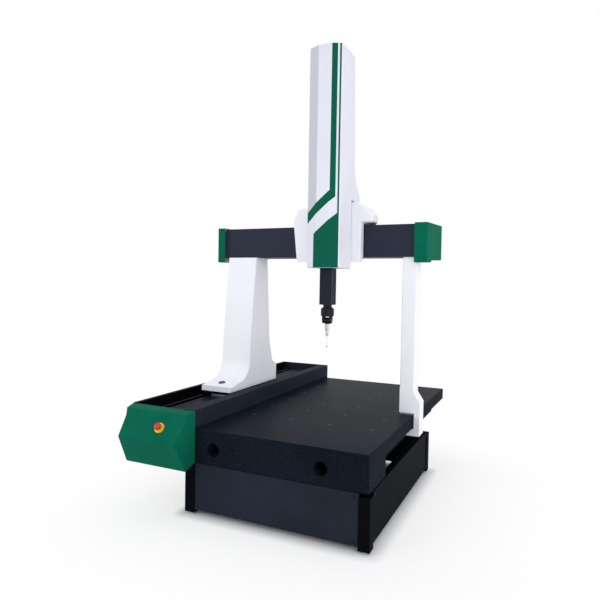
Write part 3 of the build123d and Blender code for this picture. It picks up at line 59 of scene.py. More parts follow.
# %% Camera
MM = 0.001
CAMERA_PLACE = Vector((1001.4, -2320.6, 895.4)) * MM
CAMERA_TURN = math.radians(25.0)
CAMERA_TILT = math.radians(1.714)
CAMERA_LEAN = math.radians(0.988)
SENSOR_WIDTH = 36.0
# The focal length as a share of the picture's width; both are in pixels here
FOCAL_SHARE = 540.96 / 600
NEAREST_SEEN = 10 * MM

camera_data = bpy.data.cameras.new("camera")
camera_data.sensor_width = SENSOR_WIDTH
camera_data.lens = SENSOR_WIDTH * FOCAL_SHARE
camera_data.clip_start = NEAREST_SEEN
camera = bpy.data.objects.new("camera", camera_data)
bpy.context.scene.collection.objects.link(camera)
upright = Matrix.Rotation(math.radians(90), 4, "X")
camera.matrix_world = (
    Matrix.Translation(CAMERA_PLACE)
    @ Matrix.Rotation(CAMERA_TURN, 4, "Z")
    @ upright
    @ Matrix.Rotation(-CAMERA_TILT, 4, "X")
    @ Matrix.Rotation(CAMERA_LEAN, 4, "Z")
)
bpy.context.scene.camera = camera
bpy.context.scene.view_settings.view_transform = "Standard"
print("camera looks along", [round(-v, 3) for v in camera.matrix_world.col[2][:3]])

# %% [markdown]
# Every finish is a small network of nodes.
# A colour is written as the hex value that a paint card would give. One function turns it to linear light.
# One more function adds a node with its settings and its links. It takes the stops of a colour ramp too,
# from left to right. Nearly every finish needs soft noise of a known size, so that has a function as well.
# The last two start a finish and end it, so that each recipe below holds only what is special about it.

# %% Helpers for finishes
def linear(code):
    """A colour written as sRGB hex, as linear red, green, blue and alpha."""
    values = [int(code[i : i + 2], 16) / 255 for i in (0, 2, 4)]
    return (*[v / 12.92 if v <= 0.04045 else ((v + 0.055) / 1.055) ** 2.4 for v in values], 1.0)


def add_node(owner, kind, settings=None, links=None):
    """Add a node to a material or world, set it by name, and join outputs to its inputs."""
    node = owner.node_tree.nodes.new(kind)
    for name, value in (settings or {}).items():
        if name == "stops":
            elements = node.color_ramp.elements
            for index, (position, code) in enumerate(value):
                element = elements[index] if index < len(elements) else elements.new(position)
                element.position = position
                element.color = linear(code)
        elif isinstance(name, str) and hasattr(node, name):
            setattr(node, name, value)
        else:
            node.inputs[name].default_value = value
    for name, output in (links or {}).items():
        owner.node_tree.links.new(output, node.inputs[name])
    return node


def grain(material, place, lumps, detail):
    """Soft noise with so many lumps to a metre along x, y and z, as a node output from 0 to 1."""
    scaled = add_node(material, "ShaderNodeMapping", {"Scale": lumps}, {"Vector": place})
    noise = add_node(
        material, "ShaderNodeTexNoise", {"Scale": 1.0, "Detail": detail}, {"Vector": scaled.outputs["Vector"]}
    )
    return noise.outputs["Fac"]


def start_finish(name, roughness, metallic=0.0, gloss=0.5):
    """A new material with its shader, and the place on the piece as a node output."""
    material = bpy.data.materials.new(name)
    material.use_nodes = True
    shader = material.node_tree.nodes["Principled BSDF"]
    shader.inputs["Roughness"].default_value = roughness
    shader.inputs["Metallic"].default_value = metallic
    shader.inputs["Specular IOR Level"].default_value = gloss
    place = add_node(material, "ShaderNodeTexCoord").outputs["Object"]
    return material, shader, place


def end_finish(material, shader, **outputs):
    """Join outputs to the shader; base_color stands for Base Color, and so on."""
    for name, output in outputs.items():
        socket = shader.inputs[name.replace("_", " ").title()]
        material.node_tree.links.new(output, socket)
    return material


print("white of the covers in linear light:", [round(v, 3) for v in linear("FAFAFD")])

# %% [markdown]
# The table and the guide bar are black granite, a gabbro in fact, sawn and then lapped flat.
# Its crystals are one to four millimetres across: mostly near black, some dark grey, few that glint.
# An image of stone would repeat and would stretch on the sides. Voronoi cells fill the block as crystals do,
# and two sizes of them give each crystal its own grey. Slow clouds keep a metre of stone from looking even.
# The lapped top is smoother than the sawn sides, so the roughness follows which way the surface faces.
# Lapped black granite hardly mirrors, so its gloss is low.

# %% Granite
CRYSTAL = 3.2 * MM
FLECK = 1.3 * MM
CLOUD = 260 * MM
PIT = 0.05 * MM
SAWN_ROUGHNESS = 0.62
LAPPED_ROUGHNESS = 0.38
# A Mix node has sockets for every kind of data, and these are the ones for colours
MIX_SHARE = 0
MIX_FIRST = 6
MIX_SECOND = 7
MIX_RESULT = 2


def make_granite():
    """Black granite: crystals of two sizes, slow clouds, and a smoother top."""
    material, shader, place = start_finish("black granite, lapped", LAPPED_ROUGHNESS, gloss=0.012)
    coarse = add_node(material, "ShaderNodeTexVoronoi", {"Scale": 1 / CRYSTAL}, {"Vector": place})
    fine = add_node(material, "ShaderNodeTexVoronoi", {"Scale": 1 / FLECK}, {"Vector": place})
    coarse_grey = add_node(material, "ShaderNodeSeparateColor", links={"Color": coarse.outputs["Color"]})
    fine_grey = add_node(material, "ShaderNodeSeparateColor", links={"Color": fine.outputs["Color"]})
    crystals = add_node(
        material,
        "ShaderNodeValToRGB",
        {"stops": [(0.0, "12171E"), (0.55, "161C25"), (0.9, "1B222B"), (1.0, "21272F")]},
        {"Fac": coarse_grey.outputs["Red"]},
    )
    flecks = add_node(
        material,
        "ShaderNodeValToRGB",
        {"stops": [(0.9, "000000"), (0.97, "191E25")]},
        {"Fac": fine_grey.outputs["Green"]},
    )
    mixed = add_node(
        material,
        "ShaderNodeMix",
        {"data_type": "RGBA", "blend_type": "ADD", MIX_SHARE: 1.0},
        {MIX_FIRST: crystals.outputs["Color"], MIX_SECOND: flecks.outputs["Color"]},
    )
    clouds = grain(material, place, [1 / CLOUD] * 3, 2.0)
    cloudy = add_node(
        material, "ShaderNodeValToRGB", {"stops": [(0.3, "D8D8DA"), (0.7, "FFFFFF")]}, {"Fac": clouds}
    )
    tinted = add_node(
        material,
        "ShaderNodeMix",
        {"data_type": "RGBA", "blend_type": "MULTIPLY", MIX_SHARE: 1.0},
        {MIX_FIRST: mixed.outputs[MIX_RESULT], MIX_SECOND: cloudy.outputs["Color"]},
    )
    normal = add_node(material, "ShaderNodeNewGeometry").outputs["Normal"]
    facing = add_node(material, "ShaderNodeSeparateXYZ", links={"Vector": normal})
    top_roughness = add_node(
        material,
        "ShaderNodeMapRange",
        {"From Min": 0.5, "From Max": 0.9, "To Min": SAWN_ROUGHNESS, "To Max": LAPPED_ROUGHNESS},
        {"Value": facing.outputs["Z"]},
    )
    pits = add_node(
        material, "ShaderNodeBump", {"Strength": 0.25, "Distance": PIT}, {"Height": fine_grey.outputs["Blue"]}
    )
    return end_finish(
        material, shader, base_color=tinted.outputs[MIX_RESULT], roughness=top_roughness.outputs["Result"],
        normal=pits.outputs["Normal"],
    )


granite = make_granite()
print("finish:", granite.name)

# %% [markdown]
# The covers are sheet steel and aluminium with a baked powder coat.
# Powder melts into a skin with a soft orange peel, a few millimetres from crest to crest.
# Paint on a real sheet is never quite even, so slow patches move its tone and its roughness a little,
# and a finer noise raises the peel. That shows as a slightly soft edge on every highlight.
# White and green coats are smooth and satin. The stand's dark coats are textured, which hides scratches; the
# near black on its side panels is painted shade.
# The column's covers get the same white, a little greyer than on the leg and the shroud, as painted shade.

# %% Powder coats
PATCH = 180 * MM
PEEL = 4.0 * MM
PEEL_HEIGHT = 0.08 * MM
TEXTURE_GRAIN = 1.2 * MM
TEXTURE_HEIGHT = 0.12 * MM
COAT_WANDER = 0.04


def make_powder_coat(name, dark, light, roughness, peel, height, gloss):
    """A baked coat: slow patches of tone and roughness, and a peel or a texture."""
    material, shader, place = start_finish(name, roughness, gloss=gloss)
    patches = grain(material, place, [1 / PATCH] * 3, 2.0)
    tone = add_node(
        material, "ShaderNodeValToRGB", {"stops": [(0.35, dark), (0.65, light)]}, {"Fac": patches}
    )
    wander = add_node(
        material,
        "ShaderNodeMapRange",
        {"To Min": roughness - COAT_WANDER, "To Max": roughness + COAT_WANDER},
        {"Value": patches},
    )
    skin = grain(material, place, [1 / peel] * 3, 1.0)
    relief = add_node(material, "ShaderNodeBump", {"Strength": 0.35, "Distance": height}, {"Height": skin})
    return end_finish(
        material, shader, base_color=tone.outputs["Color"], roughness=wander.outputs["Result"],
        normal=relief.outputs["Normal"],
    )


# Satin white of the leg, the post and the shroud
white_coat = make_powder_coat("white powder coat", "F6F6FA", "FAFAFD", 0.42, PEEL, PEEL_HEIGHT, 0.3)
# The same white, a shade greyer on the column, as painted shade
column_white_painted_shade = make_powder_coat("white powder coat greyed as painted shade", "E4E4EE", "E9E9F2", 0.42, PEEL, PEEL_HEIGHT, 0.3)
# Deep blue green of the caps, which hardly mirrors, so that its colour stays full
green_coat = make_powder_coat("green powder coat", "0A6149", "0C6A51", 0.45, PEEL, PEEL_HEIGHT, 0.012)
# Dark slate of the stand's panels and of the guide's inner wall
slate_coat = make_powder_coat(
    "slate textured powder coat", "242932", "292D39", 0.6, TEXTURE_GRAIN, TEXTURE_HEIGHT, 0.02
)
# Near black of the frame and the guide's outer wall; on the side panels and on the saddle under the leg's
# foot it is painted shade
black_coat_and_painted_shade = make_powder_coat(
    "black textured powder coat and painted shade", "080A0F", "0C0E14", 0.6, TEXTURE_GRAIN, TEXTURE_HEIGHT, 0.015
)
print("coats:", white_coat.name, column_white_painted_shade.name, green_coat.name, slate_coat.name, black_coat_and_painted_shade.name)

# %% [markdown]
# The beam and the ram are aluminium, ground and hard anodised to a slate colour.
# Anodising keeps the fine lines of the grinding wheel, which run along the piece.
# Noise that is stretched along one axis draws such lines, and one recipe serves every metal on the machine.
# The lines are about a millimetre apart, which is coarser than real ones, so that they show at all.
# Hard anodising is a ceramic skin, so those two aren't metallic in the shader. Bare metals are.

# %% Anodised and bare metals
TOOL_LINE = 0.9 * MM
METAL_WANDER = 0.05
GRIND_DEPTH = 0.03 * MM
POLISH_DEPTH = 0.01 * MM
ETCH_DEPTH = 0.02 * MM
BLAST_DEPTH = 0.1 * MM
ALONG_X = (400, 1, 1)
ALONG_Z = (1, 1, 400)
MILL_MARKS = (30, 30, 1)
SHORT_LINES = (1, 1, 60)
SAND_LUMPS = (2, 2, 2)
EVEN = (1, 1, 1)


def make_metal(name, dark, light, roughness, metallic, stretch, depth, gloss=0.5):
    """A metal with lines of the tool that cut it; stretch is how much longer they are along each axis."""
    material, shader, place = start_finish(name, roughness, metallic, gloss)
    lines = grain(material, place, [1 / TOOL_LINE / times for times in stretch], 1.0)
    tone = add_node(material, "ShaderNodeValToRGB", {"stops": [(0.3, dark), (0.7, light)]}, {"Fac": lines})
    wander = add_node(
        material,
        "ShaderNodeMapRange",
        {"To Min": roughness - METAL_WANDER, "To Max": roughness + METAL_WANDER},
        {"Value": lines},
    )
    relief = add_node(material, "ShaderNodeBump", {"Strength": 0.2, "Distance": depth}, {"Height": lines})
    return end_finish(
        material, shader, base_color=tone.outputs["Color"], roughness=wander.outputs["Result"],
        normal=relief.outputs["Normal"],
    )


# Slate blue, with faint lines along the beam
anodised_beam = make_metal(
    "hard anodised aluminium, ground along", "2B2F3C", "333745", 0.45, 0.0, ALONG_X, GRIND_DEPTH, 0.05
)
# A little darker, with upright lines, as the ram is ground along its length
anodised_ram = make_metal(
    "hard anodised aluminium, ground upright", "242831", "2B2F39", 0.42, 0.0, ALONG_Z, GRIND_DEPTH, 0.02
)
# Pads, plates and pulleys straight from the mill
milled_aluminium = make_metal("milled aluminium", "AEB0B4", "C4C6CA", 0.36, 1.0, MILL_MARKS, GRIND_DEPTH)
# Sand castings, blasted to an even dull grey
cast_aluminium = make_metal("cast aluminium, blasted", "A2A4A8", "B4B6BA", 0.55, 1.0, SAND_LUMPS, BLAST_DEPTH)
# Shafts, pins, feet and the probe: ground bright
ground_steel = make_metal("ground steel", "A9ABAF", "C2C4C8", 0.26, 1.0, SHORT_LINES, POLISH_DEPTH)
# The inserts in the table have a dull grey phosphate skin
dull_steel = make_metal("phosphated steel", "4A4C50", "5C5E62", 0.6, 0.8, EVEN, ETCH_DEPTH, 0.3)
# A scale is a thin steel tape with a warm tint from its etched lines
scale_steel = make_metal("steel tape, etched", "8E8568", "A89E7C", 0.3, 1.0, EVEN, POLISH_DEPTH)
# The ram's scale is blackened, as it runs in the open
dark_scale = make_metal("blackened steel tape", "23262C", "2B2E35", 0.4, 0.5, EVEN, POLISH_DEPTH, 0.2)
# Screws and the head's tilting drum: a thin black oxide that keeps a trace of metal
black_oxide = make_metal("black oxide steel", "131416", "1C1D20", 0.45, 0.6, EVEN, POLISH_DEPTH, 0.3)
# Screws on the white covers are turned stainless steel
stainless = make_metal("stainless steel, turned", "9A9CA0", "B2B4B8", 0.35, 1.0, EVEN, POLISH_DEPTH)
print("metals:", anodised_beam.name, milled_aluminium.name, ground_steel.name, black_oxide.name)

# %% [markdown]
# The probe head and the reading heads have housings of glass-filled nylon,
# a matt black with a fine spark-eroded grain. The motors are enamelled, and the stop button is glossy ABS.
# All of them are one colour in the mould, so the recipe only moves that colour a little, grain by grain.
# Half gloss is the shader's own value, and the dull ones get less.

# %% Plastics, enamel and rubber
MOULD_GRAIN = 0.8 * MM
VINYL_GRAIN = 6.0 * MM
PLASTIC_WANDER = 0.05
# How much lighter the crests of the grain are, of 255
TONE_STEP = 6


def make_plastic(name, code, roughness, size, height, gloss=0.5):
    """One colour with a grain of a given size and height."""
    material, shader, place = start_finish(name, roughness, gloss=gloss)
    lighter = "%02X%02X%02X" % tuple(min(255, int(code[i : i + 2], 16) + TONE_STEP) for i in (0, 2, 4))
    speckle = grain(material, place, [1 / size] * 3, 1.0)
    tone = add_node(
        material, "ShaderNodeValToRGB", {"stops": [(0.35, code), (0.65, lighter)]}, {"Fac": speckle}
    )
    wander = add_node(
        material,
        "ShaderNodeMapRange",
        {"To Min": roughness - PLASTIC_WANDER, "To Max": roughness + PLASTIC_WANDER},
        {"Value": speckle},
    )
    relief = add_node(material, "ShaderNodeBump", {"Strength": 0.3, "Distance": height}, {"Height": speckle})
    return end_finish(
        material, shader, base_color=tone.outputs["Color"], roughness=wander.outputs["Result"],
        normal=relief.outputs["Normal"],
    )


# Glass-filled nylon is matt, with a fine moulded grain
black_nylon = make_plastic("black glass-filled nylon", "101113", 0.5, MOULD_GRAIN, 0.04 * MM, 0.2)
# Motors are dipped in a black enamel
black_enamel = make_plastic("black motor enamel", "1B1C20", 0.4, MOULD_GRAIN, 0.05 * MM)
# The button's head is polished in the mould, its ring a little less
red_abs = make_plastic("red gloss ABS", "C9231C", 0.22, MOULD_GRAIN, 0.01 * MM)
yellow_abs = make_plastic("yellow ABS", "EFC62C", 0.3, MOULD_GRAIN, 0.02 * MM)
# The stylus ends in a polished ball of synthetic ruby
ruby = make_plastic("synthetic ruby", "B0122B", 0.08, MOULD_GRAIN, 0.0)
# Mounts and the grommet are dull and slightly grainy
mount_rubber = make_plastic("black moulded rubber", "161617", 0.75, MOULD_GRAIN, 0.06 * MM)
# Stripes are cut from satin film
green_vinyl = make_plastic("green vinyl film", "055A43", 0.45, VINYL_GRAIN, 0.02 * MM, 0.05)
grey_vinyl = make_plastic("grey vinyl film", "C6C9D1", 0.45, VINYL_GRAIN, 0.02 * MM, 0.2)
print("plastics:", black_nylon.name, red_abs.name, mount_rubber.name, green_vinyl.name)

# %% [markdown]
# The three drives have toothed belts of black polyurethane. The model's belts are smooth bands,
# and hundreds of modelled teeth would cost far more than they show, since the belts lie deep inside.
# So a wave pattern across the belt's run raises them as bump. At a scale of 1 that pattern has a little over
# three crests to a metre, and dividing by pi brings it within two percent of one crest for each tooth.

# %% Belts
TOOTH_PITCH = 5.0 * MM
TOOTH_HEIGHT = 1.2 * MM
BELT_GRAIN = 2.0 * MM


def make_belt(axis):
    """Polyurethane belt with its teeth across one axis."""
    material, shader, place = start_finish("black polyurethane, toothed along " + axis, 0.62)
    speckle = grain(material, place, [1 / BELT_GRAIN] * 3, 2.0)
    tone = add_node(
        material, "ShaderNodeValToRGB", {"stops": [(0.35, "171719"), (0.65, "1E1E20")]}, {"Fac": speckle}
    )
    teeth = add_node(
        material,
        "ShaderNodeTexWave",
        {"bands_direction": axis, "Scale": 1 / TOOTH_PITCH / math.pi, "Distortion": 0.0},
        {"Vector": place},
    )
    relief = add_node(
        material,
        "ShaderNodeBump",
        {"Strength": 0.6, "Distance": TOOTH_HEIGHT},
        {"Height": teeth.outputs["Fac"]},
    )
    return end_finish(material, shader, base_color=tone.outputs["Color"], normal=relief.outputs["Normal"])


belt_x = make_belt("X")
belt_y = make_belt("Y")
belt_z = make_belt("Z")
print("belts:", belt_x.name, belt_y.name, belt_z.name)

# %% [markdown]
# Each piece of the model gets its finish in its material slot, and nothing is moved.
# A table with a finish and its pieces reads like a parts list, and shows at a glance what is still bare.

# %% Dress the model
finish_of = {
    granite: ["granite_table", "y_guide_bar"],
    white_coat: ["left_leg_cover", "right_post", "right_foot", "carriage_shroud"],
    # The column's covers: the white greyed as painted shade
    column_white_painted_shade: ["z_cover_front", "z_cover_rear"],
    green_coat: ["front_cap", "beam_cap_left", "beam_cap_right"],
    slate_coat: ["end_panels", "rail_inner_wall", "rail_end_plate"],
    # Side panels and the saddle under the foot: near black as painted shade; the frame and outer wall are
    # black
    black_coat_and_painted_shade: ["stand_frame", "side_panels", "rail_outer_wall", "bridge_saddle"],
    anodised_beam: ["guide_beam"],
    anodised_ram: ["ram"],
    milled_aluminium: [
        "saddle_air_pads", "foot_air_pads", "beam_end_plates", "carriage_air_pads", "y_motor_bracket",
        "y_drive_pulley", "y_idler_pulley", "x_drive_pulley", "x_idler_pulley", "z_drive_pulley",
        "z_idler_pulley", "counterbalance_cylinder",
    ],
    cast_aluminium: ["left_leg", "carriage_frame", "z_housing"],
    ground_steel: ["levelling_feet", "counterbalance_piston", "tilt_pin", "probe_body", "stylus_stem"],
    black_oxide: ["head_tilt"],
    dull_steel: ["table_inserts"],
    scale_steel: ["x_scale", "y_scale"],
    dark_scale: ["z_scale"],
    black_nylon: ["probe_head_body", "head_rotor", "y_readhead", "carriage_readheads", "estop_stem"],
    black_enamel: ["y_motor", "x_motor", "z_motor"],
    red_abs: ["estop_head"],
    yellow_abs: ["estop_base"],
    mount_rubber: ["table_mounts"],
    belt_x: ["x_belt"],
    belt_y: ["y_belt"],
    belt_z: ["z_belt"],
    ruby: ["stylus_ball"],
}
for finish, piece_names in finish_of.items():
    for piece_name in piece_names:
        piece_mesh = nodes[piece_name].data
        piece_mesh.materials.clear()
        piece_mesh.materials.append(finish)
dressed = {piece_name for piece_names in finish_of.values() for piece_name in piece_names}
print("not dressed:", sorted(set(nodes) - dressed))

# %% [markdown]
# New pieces are modelled where they stand. When one is finished, its place is moved into its mesh,
# so that its object sits at the origin like the model's own, and it is tied to the body that carries it.
# An operator acts on all that is selected, so every piece starts with nothing selected.

# %% Helpers for new pieces
def deselect():
    """Leave edit mode and select nothing."""
    if bpy.context.object and bpy.context.object.mode != "OBJECT":
        bpy.ops.object.mode_set(mode="OBJECT")
    bpy.ops.object.select_all(action="DESELECT")


def finish_piece(name, material, body):
    """Name the active object, apply its place, give it its finish and tie it to a body."""
    piece = bpy.context.object
    bpy.ops.object.transform_apply(location=True, rotation=True, scale=True)
    piece.name = name
    piece.data.materials.clear()
    piece.data.materials.append(material)
    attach(piece, body)


# %% [markdown]
# The column's stripes are vinyl film, a quarter of a millimetre thick, cut with a knife and pressed on.
# They could be painted in the column's material, but their edges would then blur or need a picture.
# As thin pieces of their own they stay sharp, and they show their real thickness.
# Each one starts as a flat plane in front of the column and is cut to its outline with straight cuts.
# It is cut once more at each bend of the cover, and the part beyond the bend goes back with the next face.

# %% How a film is cut and laid
cover_low, cover_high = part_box("z_cover_front")
cover_center = (cover_low.x + cover_high.x) / 2
FLAT_HALF = 27.0 * MM
BEND_DEPTH = 21.0 * MM
COVER_HALF = 74.0 * MM
FILM = 0.25 * MM
# How far the slant of the stripes rises for each step to the right
SLANT_SHARE = 0.855


def cover_front_y(x):
    """How far back the cover's front surface lies at x."""
    beyond_flat = max(0.0, abs(x - cover_center) - FLAT_HALF)
    return cover_low.y + beyond_flat * BEND_DEPTH / (COVER_HALF - FLAT_HALF)


def film(name, material, sides, heights, cuts=()):
    """A strip of film between two sides and two heights; a cut is a point and the way that goes."""
    left, right = sides
    low, high = heights
    deselect()
    bpy.ops.mesh.primitive_plane_add(size=1, location=((left + right) / 2, 0, (low + high) / 2))
    strip = bpy.context.object
    strip.rotation_euler.x = math.radians(90)
    strip.scale = (right - left, high - low, 1)
    bpy.ops.object.transform_apply(location=True, rotation=True, scale=True)
    bpy.ops.object.mode_set(mode="EDIT")
    for point, away in cuts:
        bpy.ops.mesh.select_all(action="SELECT")
        bpy.ops.mesh.bisect(plane_co=point, plane_no=away, clear_outer=True)
    for bend in (cover_center - FLAT_HALF, cover_center + FLAT_HALF):
        bpy.ops.mesh.select_all(action="SELECT")
        bpy.ops.mesh.bisect(plane_co=(bend, 0, 0), plane_no=(1, 0, 0))
    bpy.ops.object.mode_set(mode="OBJECT")
    for vertex in strip.data.vertices:
        vertex.co.y = cover_front_y(vertex.co.x) - FILM / 2
    solidify = strip.modifiers.new("thickness", "SOLIDIFY")
    solidify.thickness = FILM
    solidify.offset = 0
    bpy.ops.object.modifier_apply(modifier=solidify.name)
    finish_piece(name, material, "carriage")


def slanted(x, z, up):
    """A cut along the slant through a point; up says which side is thrown away."""
    direction = Vector((-SLANT_SHARE, 0, 1)).normalized()
    return ((x, 0, z), direction if up else -direction)


print("column cover from", round(cover_low.z, 3), "to", round(cover_high.z, 3), "m above the floor")

# %% [markdown]
# The stripes of the photo, from left to right: a grey flank, a wide green stripe that comes down the front
# and slants off to the left, a thin green one, and a green panel at the column's foot whose upper edge
# follows the slant. Their places are measured from the column's middle and from its foot.

# %% Stripes on the column
WIDE_STRIPE = (32.5 * MM, 54.5 * MM)
THIN_STRIPE = (62.5 * MM, 69.0 * MM)
PANEL_LEFT = 39.0 * MM
EDGE_MARGIN = 1 * MM
SLANT_HIGH = 324 * MM
SLANT_LOW = 297 * MM
PANEL_CORNER = 229 * MM
PANEL_TOP = 260 * MM
WIDE_START = 250 * MM
SLANT_SPAN = (150 * MM, 400 * MM)
FLANK_START = 200 * MM

cover_left = cover_center - COVER_HALF
wide_left, wide_right = [cover_center + side for side in WIDE_STRIPE]
thin_left, thin_right = [cover_center + side for side in THIN_STRIPE]
stripe_foot = cover_low.z + EDGE_MARGIN
stripe_top = cover_high.z - EDGE_MARGIN
slant_high = (wide_left, cover_low.z + SLANT_HIGH)
slant_low = (wide_right, cover_low.z + SLANT_LOW)
slant_heights = [cover_low.z + height for height in SLANT_SPAN]
left_of_stripe = ((wide_left, 0, 0), (1, 0, 0))

film("stripe_wide", green_vinyl, (wide_left, wide_right),
     (cover_low.z + WIDE_START, stripe_top), [slanted(*slant_low, False)])
film("stripe_slant", green_vinyl, (cover_left, wide_right), slant_heights,
     [slanted(*slant_high, True), slanted(*slant_low, False), left_of_stripe])
film("stripe_thin", green_vinyl, (thin_left, thin_right), (stripe_foot, stripe_top))
film("stripe_panel", green_vinyl, (cover_center - PANEL_LEFT, thin_left),
     (stripe_foot, cover_low.z + PANEL_TOP), [slanted(thin_left, cover_low.z + PANEL_CORNER, True)])
film("grey_flank", grey_vinyl, (cover_left, cover_center - FLAT_HALF),
     (cover_low.z + FLANK_START, stripe_top), [slanted(*slant_high, False)])
print("each film is", round(FILM / MM, 2), "mm thick")

# %% [markdown]
# Sheet covers are held by small button head screws, a low dome with a hex socket.
# One head is modelled at the origin, standing on a flat side: a short cylinder with both rims rounded until
# they meet, from which a six sided peg is cut for the socket. A true dome would be rounded above only, but at
# this size the two look alike. Every screw is a copy of it, so that a change to one head changes them all.

# %% One screw head
HEAD_RADIUS = 4.75 * MM
HEAD_HEIGHT = 2.8 * MM
HEAD_SIDES = 18
ROUNDING_SHARE = 0.6
ROUNDING_STEPS = 3
SOCKET_RADIUS = 1.75 * MM
SOCKET_DEPTH = 1.6 * MM
HEX_SIDES = 6

deselect()
bpy.ops.mesh.primitive_cylinder_add(
    vertices=HEAD_SIDES, radius=HEAD_RADIUS, depth=HEAD_HEIGHT, location=(0, 0, HEAD_HEIGHT / 2)
)
screw_head = bpy.context.object
bpy.ops.object.transform_apply(location=True, rotation=True, scale=True)
rounding = screw_head.modifiers.new("rounding", "BEVEL")
rounding.width = HEAD_HEIGHT * ROUNDING_SHARE
rounding.segments = ROUNDING_STEPS
rounding.limit_method = "ANGLE"
bpy.ops.object.modifier_apply(modifier=rounding.name)
bpy.ops.mesh.primitive_cylinder_add(
    vertices=HEX_SIDES, radius=SOCKET_RADIUS, depth=2 * SOCKET_DEPTH, location=(0, 0, HEAD_HEIGHT)
)
peg = bpy.context.object
bpy.context.view_layer.objects.active = screw_head
socket_cut = screw_head.modifiers.new("socket", "BOOLEAN")
socket_cut.object = peg
socket_cut.operation = "DIFFERENCE"
bpy.ops.object.modifier_apply(modifier=socket_cut.name)
bpy.data.objects.remove(peg)
print("faces of one screw head:", len(screw_head.data.polygons))

# %% [markdown]
# A screw has to sit flat on its sheet, also where the sheet leans.
# So a ray is sent at the cover, as one would point at it: where it meets the surface is the screw's place,
# and the surface's normal there is the way its head looks. Screws of one cover are joined into one piece.

# %% Helpers that seat screws
def seat(node, start, aim):
    """Where a ray from start meets a piece of the model, and which way the surface faces there."""
    bpy.context.view_layer.update()
    found, place, normal, _ = nodes[node].ray_cast(Vector(start), Vector(aim).normalized())
    if not found:
        raise RuntimeError("no surface of " + node + " in front of " + str(tuple(start)))
    return place, normal


def screw_set(name, node, starts, aim, material, body):
    """Screw heads on one piece of the model, one for each ray, joined into one piece."""
    heads = []
    for start in starts:
        place, normal = seat(node, start, aim)
        head = screw_head.copy()
        head.data = screw_head.data.copy()
        bpy.context.scene.collection.objects.link(head)
        head.matrix_world = Matrix.LocRotScale(place, normal.to_track_quat("Z", "Y"), None)
        heads.append(head)
    deselect()
    for head in heads:
        head.select_set(True)
    bpy.context.view_layer.objects.active = heads[0]
    bpy.ops.object.join()
    finish_piece(name, material, body)
    print(name + ":", len(heads))


def grid(first, second, fixed, order):
    """Points with every pairing of two lists of values, and a fixed third one; order names the three axes."""
    points = []
    for a in first:
        for b in second:
            at = dict(zip(order, (a, b, fixed)))
            points.append((at["x"], at["y"], at["z"]))
    return points


def inset_ends(low, high, margin):
    """Two values, a margin inside the ends of a span."""
    return [low + margin, high - margin]


RAY_START = 30 * MM
print("rays start", round(RAY_START / MM), "mm outside a cover")

# %% [markdown]
# The stand's panels are dark, and so are the screws in their four corners. They could be placed by typed
# numbers, but a grid that is taken from the panel's own box stays right when the panel changes.

# %% Screws on the stand
PANEL_MARGIN = 14 * MM
panel_low, panel_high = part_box("end_panels")
panel_xs = inset_ends(panel_low.x, panel_high.x, PANEL_MARGIN)
panel_zs = inset_ends(panel_low.z, panel_high.z, PANEL_MARGIN)
for end, y, inward in (("front", panel_low.y - RAY_START, 1), ("back", panel_high.y + RAY_START, -1)):
    panel_starts = grid(panel_xs, panel_zs, y, "xzy")
    screw_set("screws_panel_" + end, "end_panels", panel_starts, (0, inward, 0), black_oxide, "base")

side_low, side_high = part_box("side_panels")
side_ys = inset_ends(side_low.y, side_high.y, PANEL_MARGIN)
side_zs = inset_ends(side_low.z, side_high.z, PANEL_MARGIN)
for end, x, inward in (("left", side_low.x - RAY_START, 1), ("right", side_high.x + RAY_START, -1)):
    side_starts = grid(side_ys, side_zs, x, "yzx")
    screw_set("screws_panel_" + end, "side_panels", side_starts, (inward, 0, 0), black_oxide, "base")

# %% [markdown]
# The guide's housing has a row of screws low on its outer wall, and four on its end plate.
# The front cap has two on its left side, near its back edge, where the sheet laps the housing.

# %% Screws on the guide's housing
WALL_SCREWS = 8
WALL_RISE = 12 * MM
wall_low, wall_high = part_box("rail_outer_wall")
wall_step = (wall_high.y - wall_low.y) / WALL_SCREWS
wall_ys = [wall_low.y + (index + 0.5) * wall_step for index in range(WALL_SCREWS)]
wall_starts = grid(wall_ys, [wall_low.z + WALL_RISE], wall_low.x - RAY_START, "yzx")
screw_set("screws_outer_wall", "rail_outer_wall", wall_starts, (1, 0, 0), black_oxide, "base")

PLATE_MARGINS = (18 * MM, 16 * MM)
plate_low, plate_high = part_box("rail_end_plate")
plate_xs = inset_ends(plate_low.x, plate_high.x, PLATE_MARGINS[0])
plate_zs = inset_ends(plate_low.z, plate_high.z, PLATE_MARGINS[1])
plate_starts = grid(plate_xs, plate_zs, plate_high.y + RAY_START, "xzy")
screw_set("screws_end_plate", "rail_end_plate", plate_starts, (0, -1, 0), black_oxide, "base")

CAP_LAP = 12 * MM
CAP_MARGIN = 60 * MM
cap_low, cap_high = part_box("front_cap")
cap_zs = [cap_high.z - CAP_MARGIN, cap_low.z + CAP_MARGIN]
cap_starts = grid([cap_high.y - CAP_LAP], cap_zs, cap_low.x - RAY_START, "yzx")
screw_set("screws_front_cap", "front_cap", cap_starts, (1, 0, 0), black_oxide, "base")

# %% [markdown]
# The beam's caps are held from above, by two black screws each, out of sight from the front.

# %% Screws on the beam's caps
BEAM_CAP_MARGIN = 48 * MM
for cap_name in ("beam_cap_left", "beam_cap_right"):
    end_low, end_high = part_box(cap_name)
    end_ys = inset_ends(end_low.y, end_high.y, BEAM_CAP_MARGIN)
    end_starts = grid([(end_low.x + end_high.x) / 2], end_ys, end_high.z + RAY_START, "xyz")
    screw_set("screws_" + cap_name, cap_name, end_starts, (0, 0, -1), black_oxide, "bridge")

# %% [markdown]
# The white covers have stainless screws, which don't stain the coat, on their backs:
# four on the shroud and six on the column here, and then four on the leg's cover.

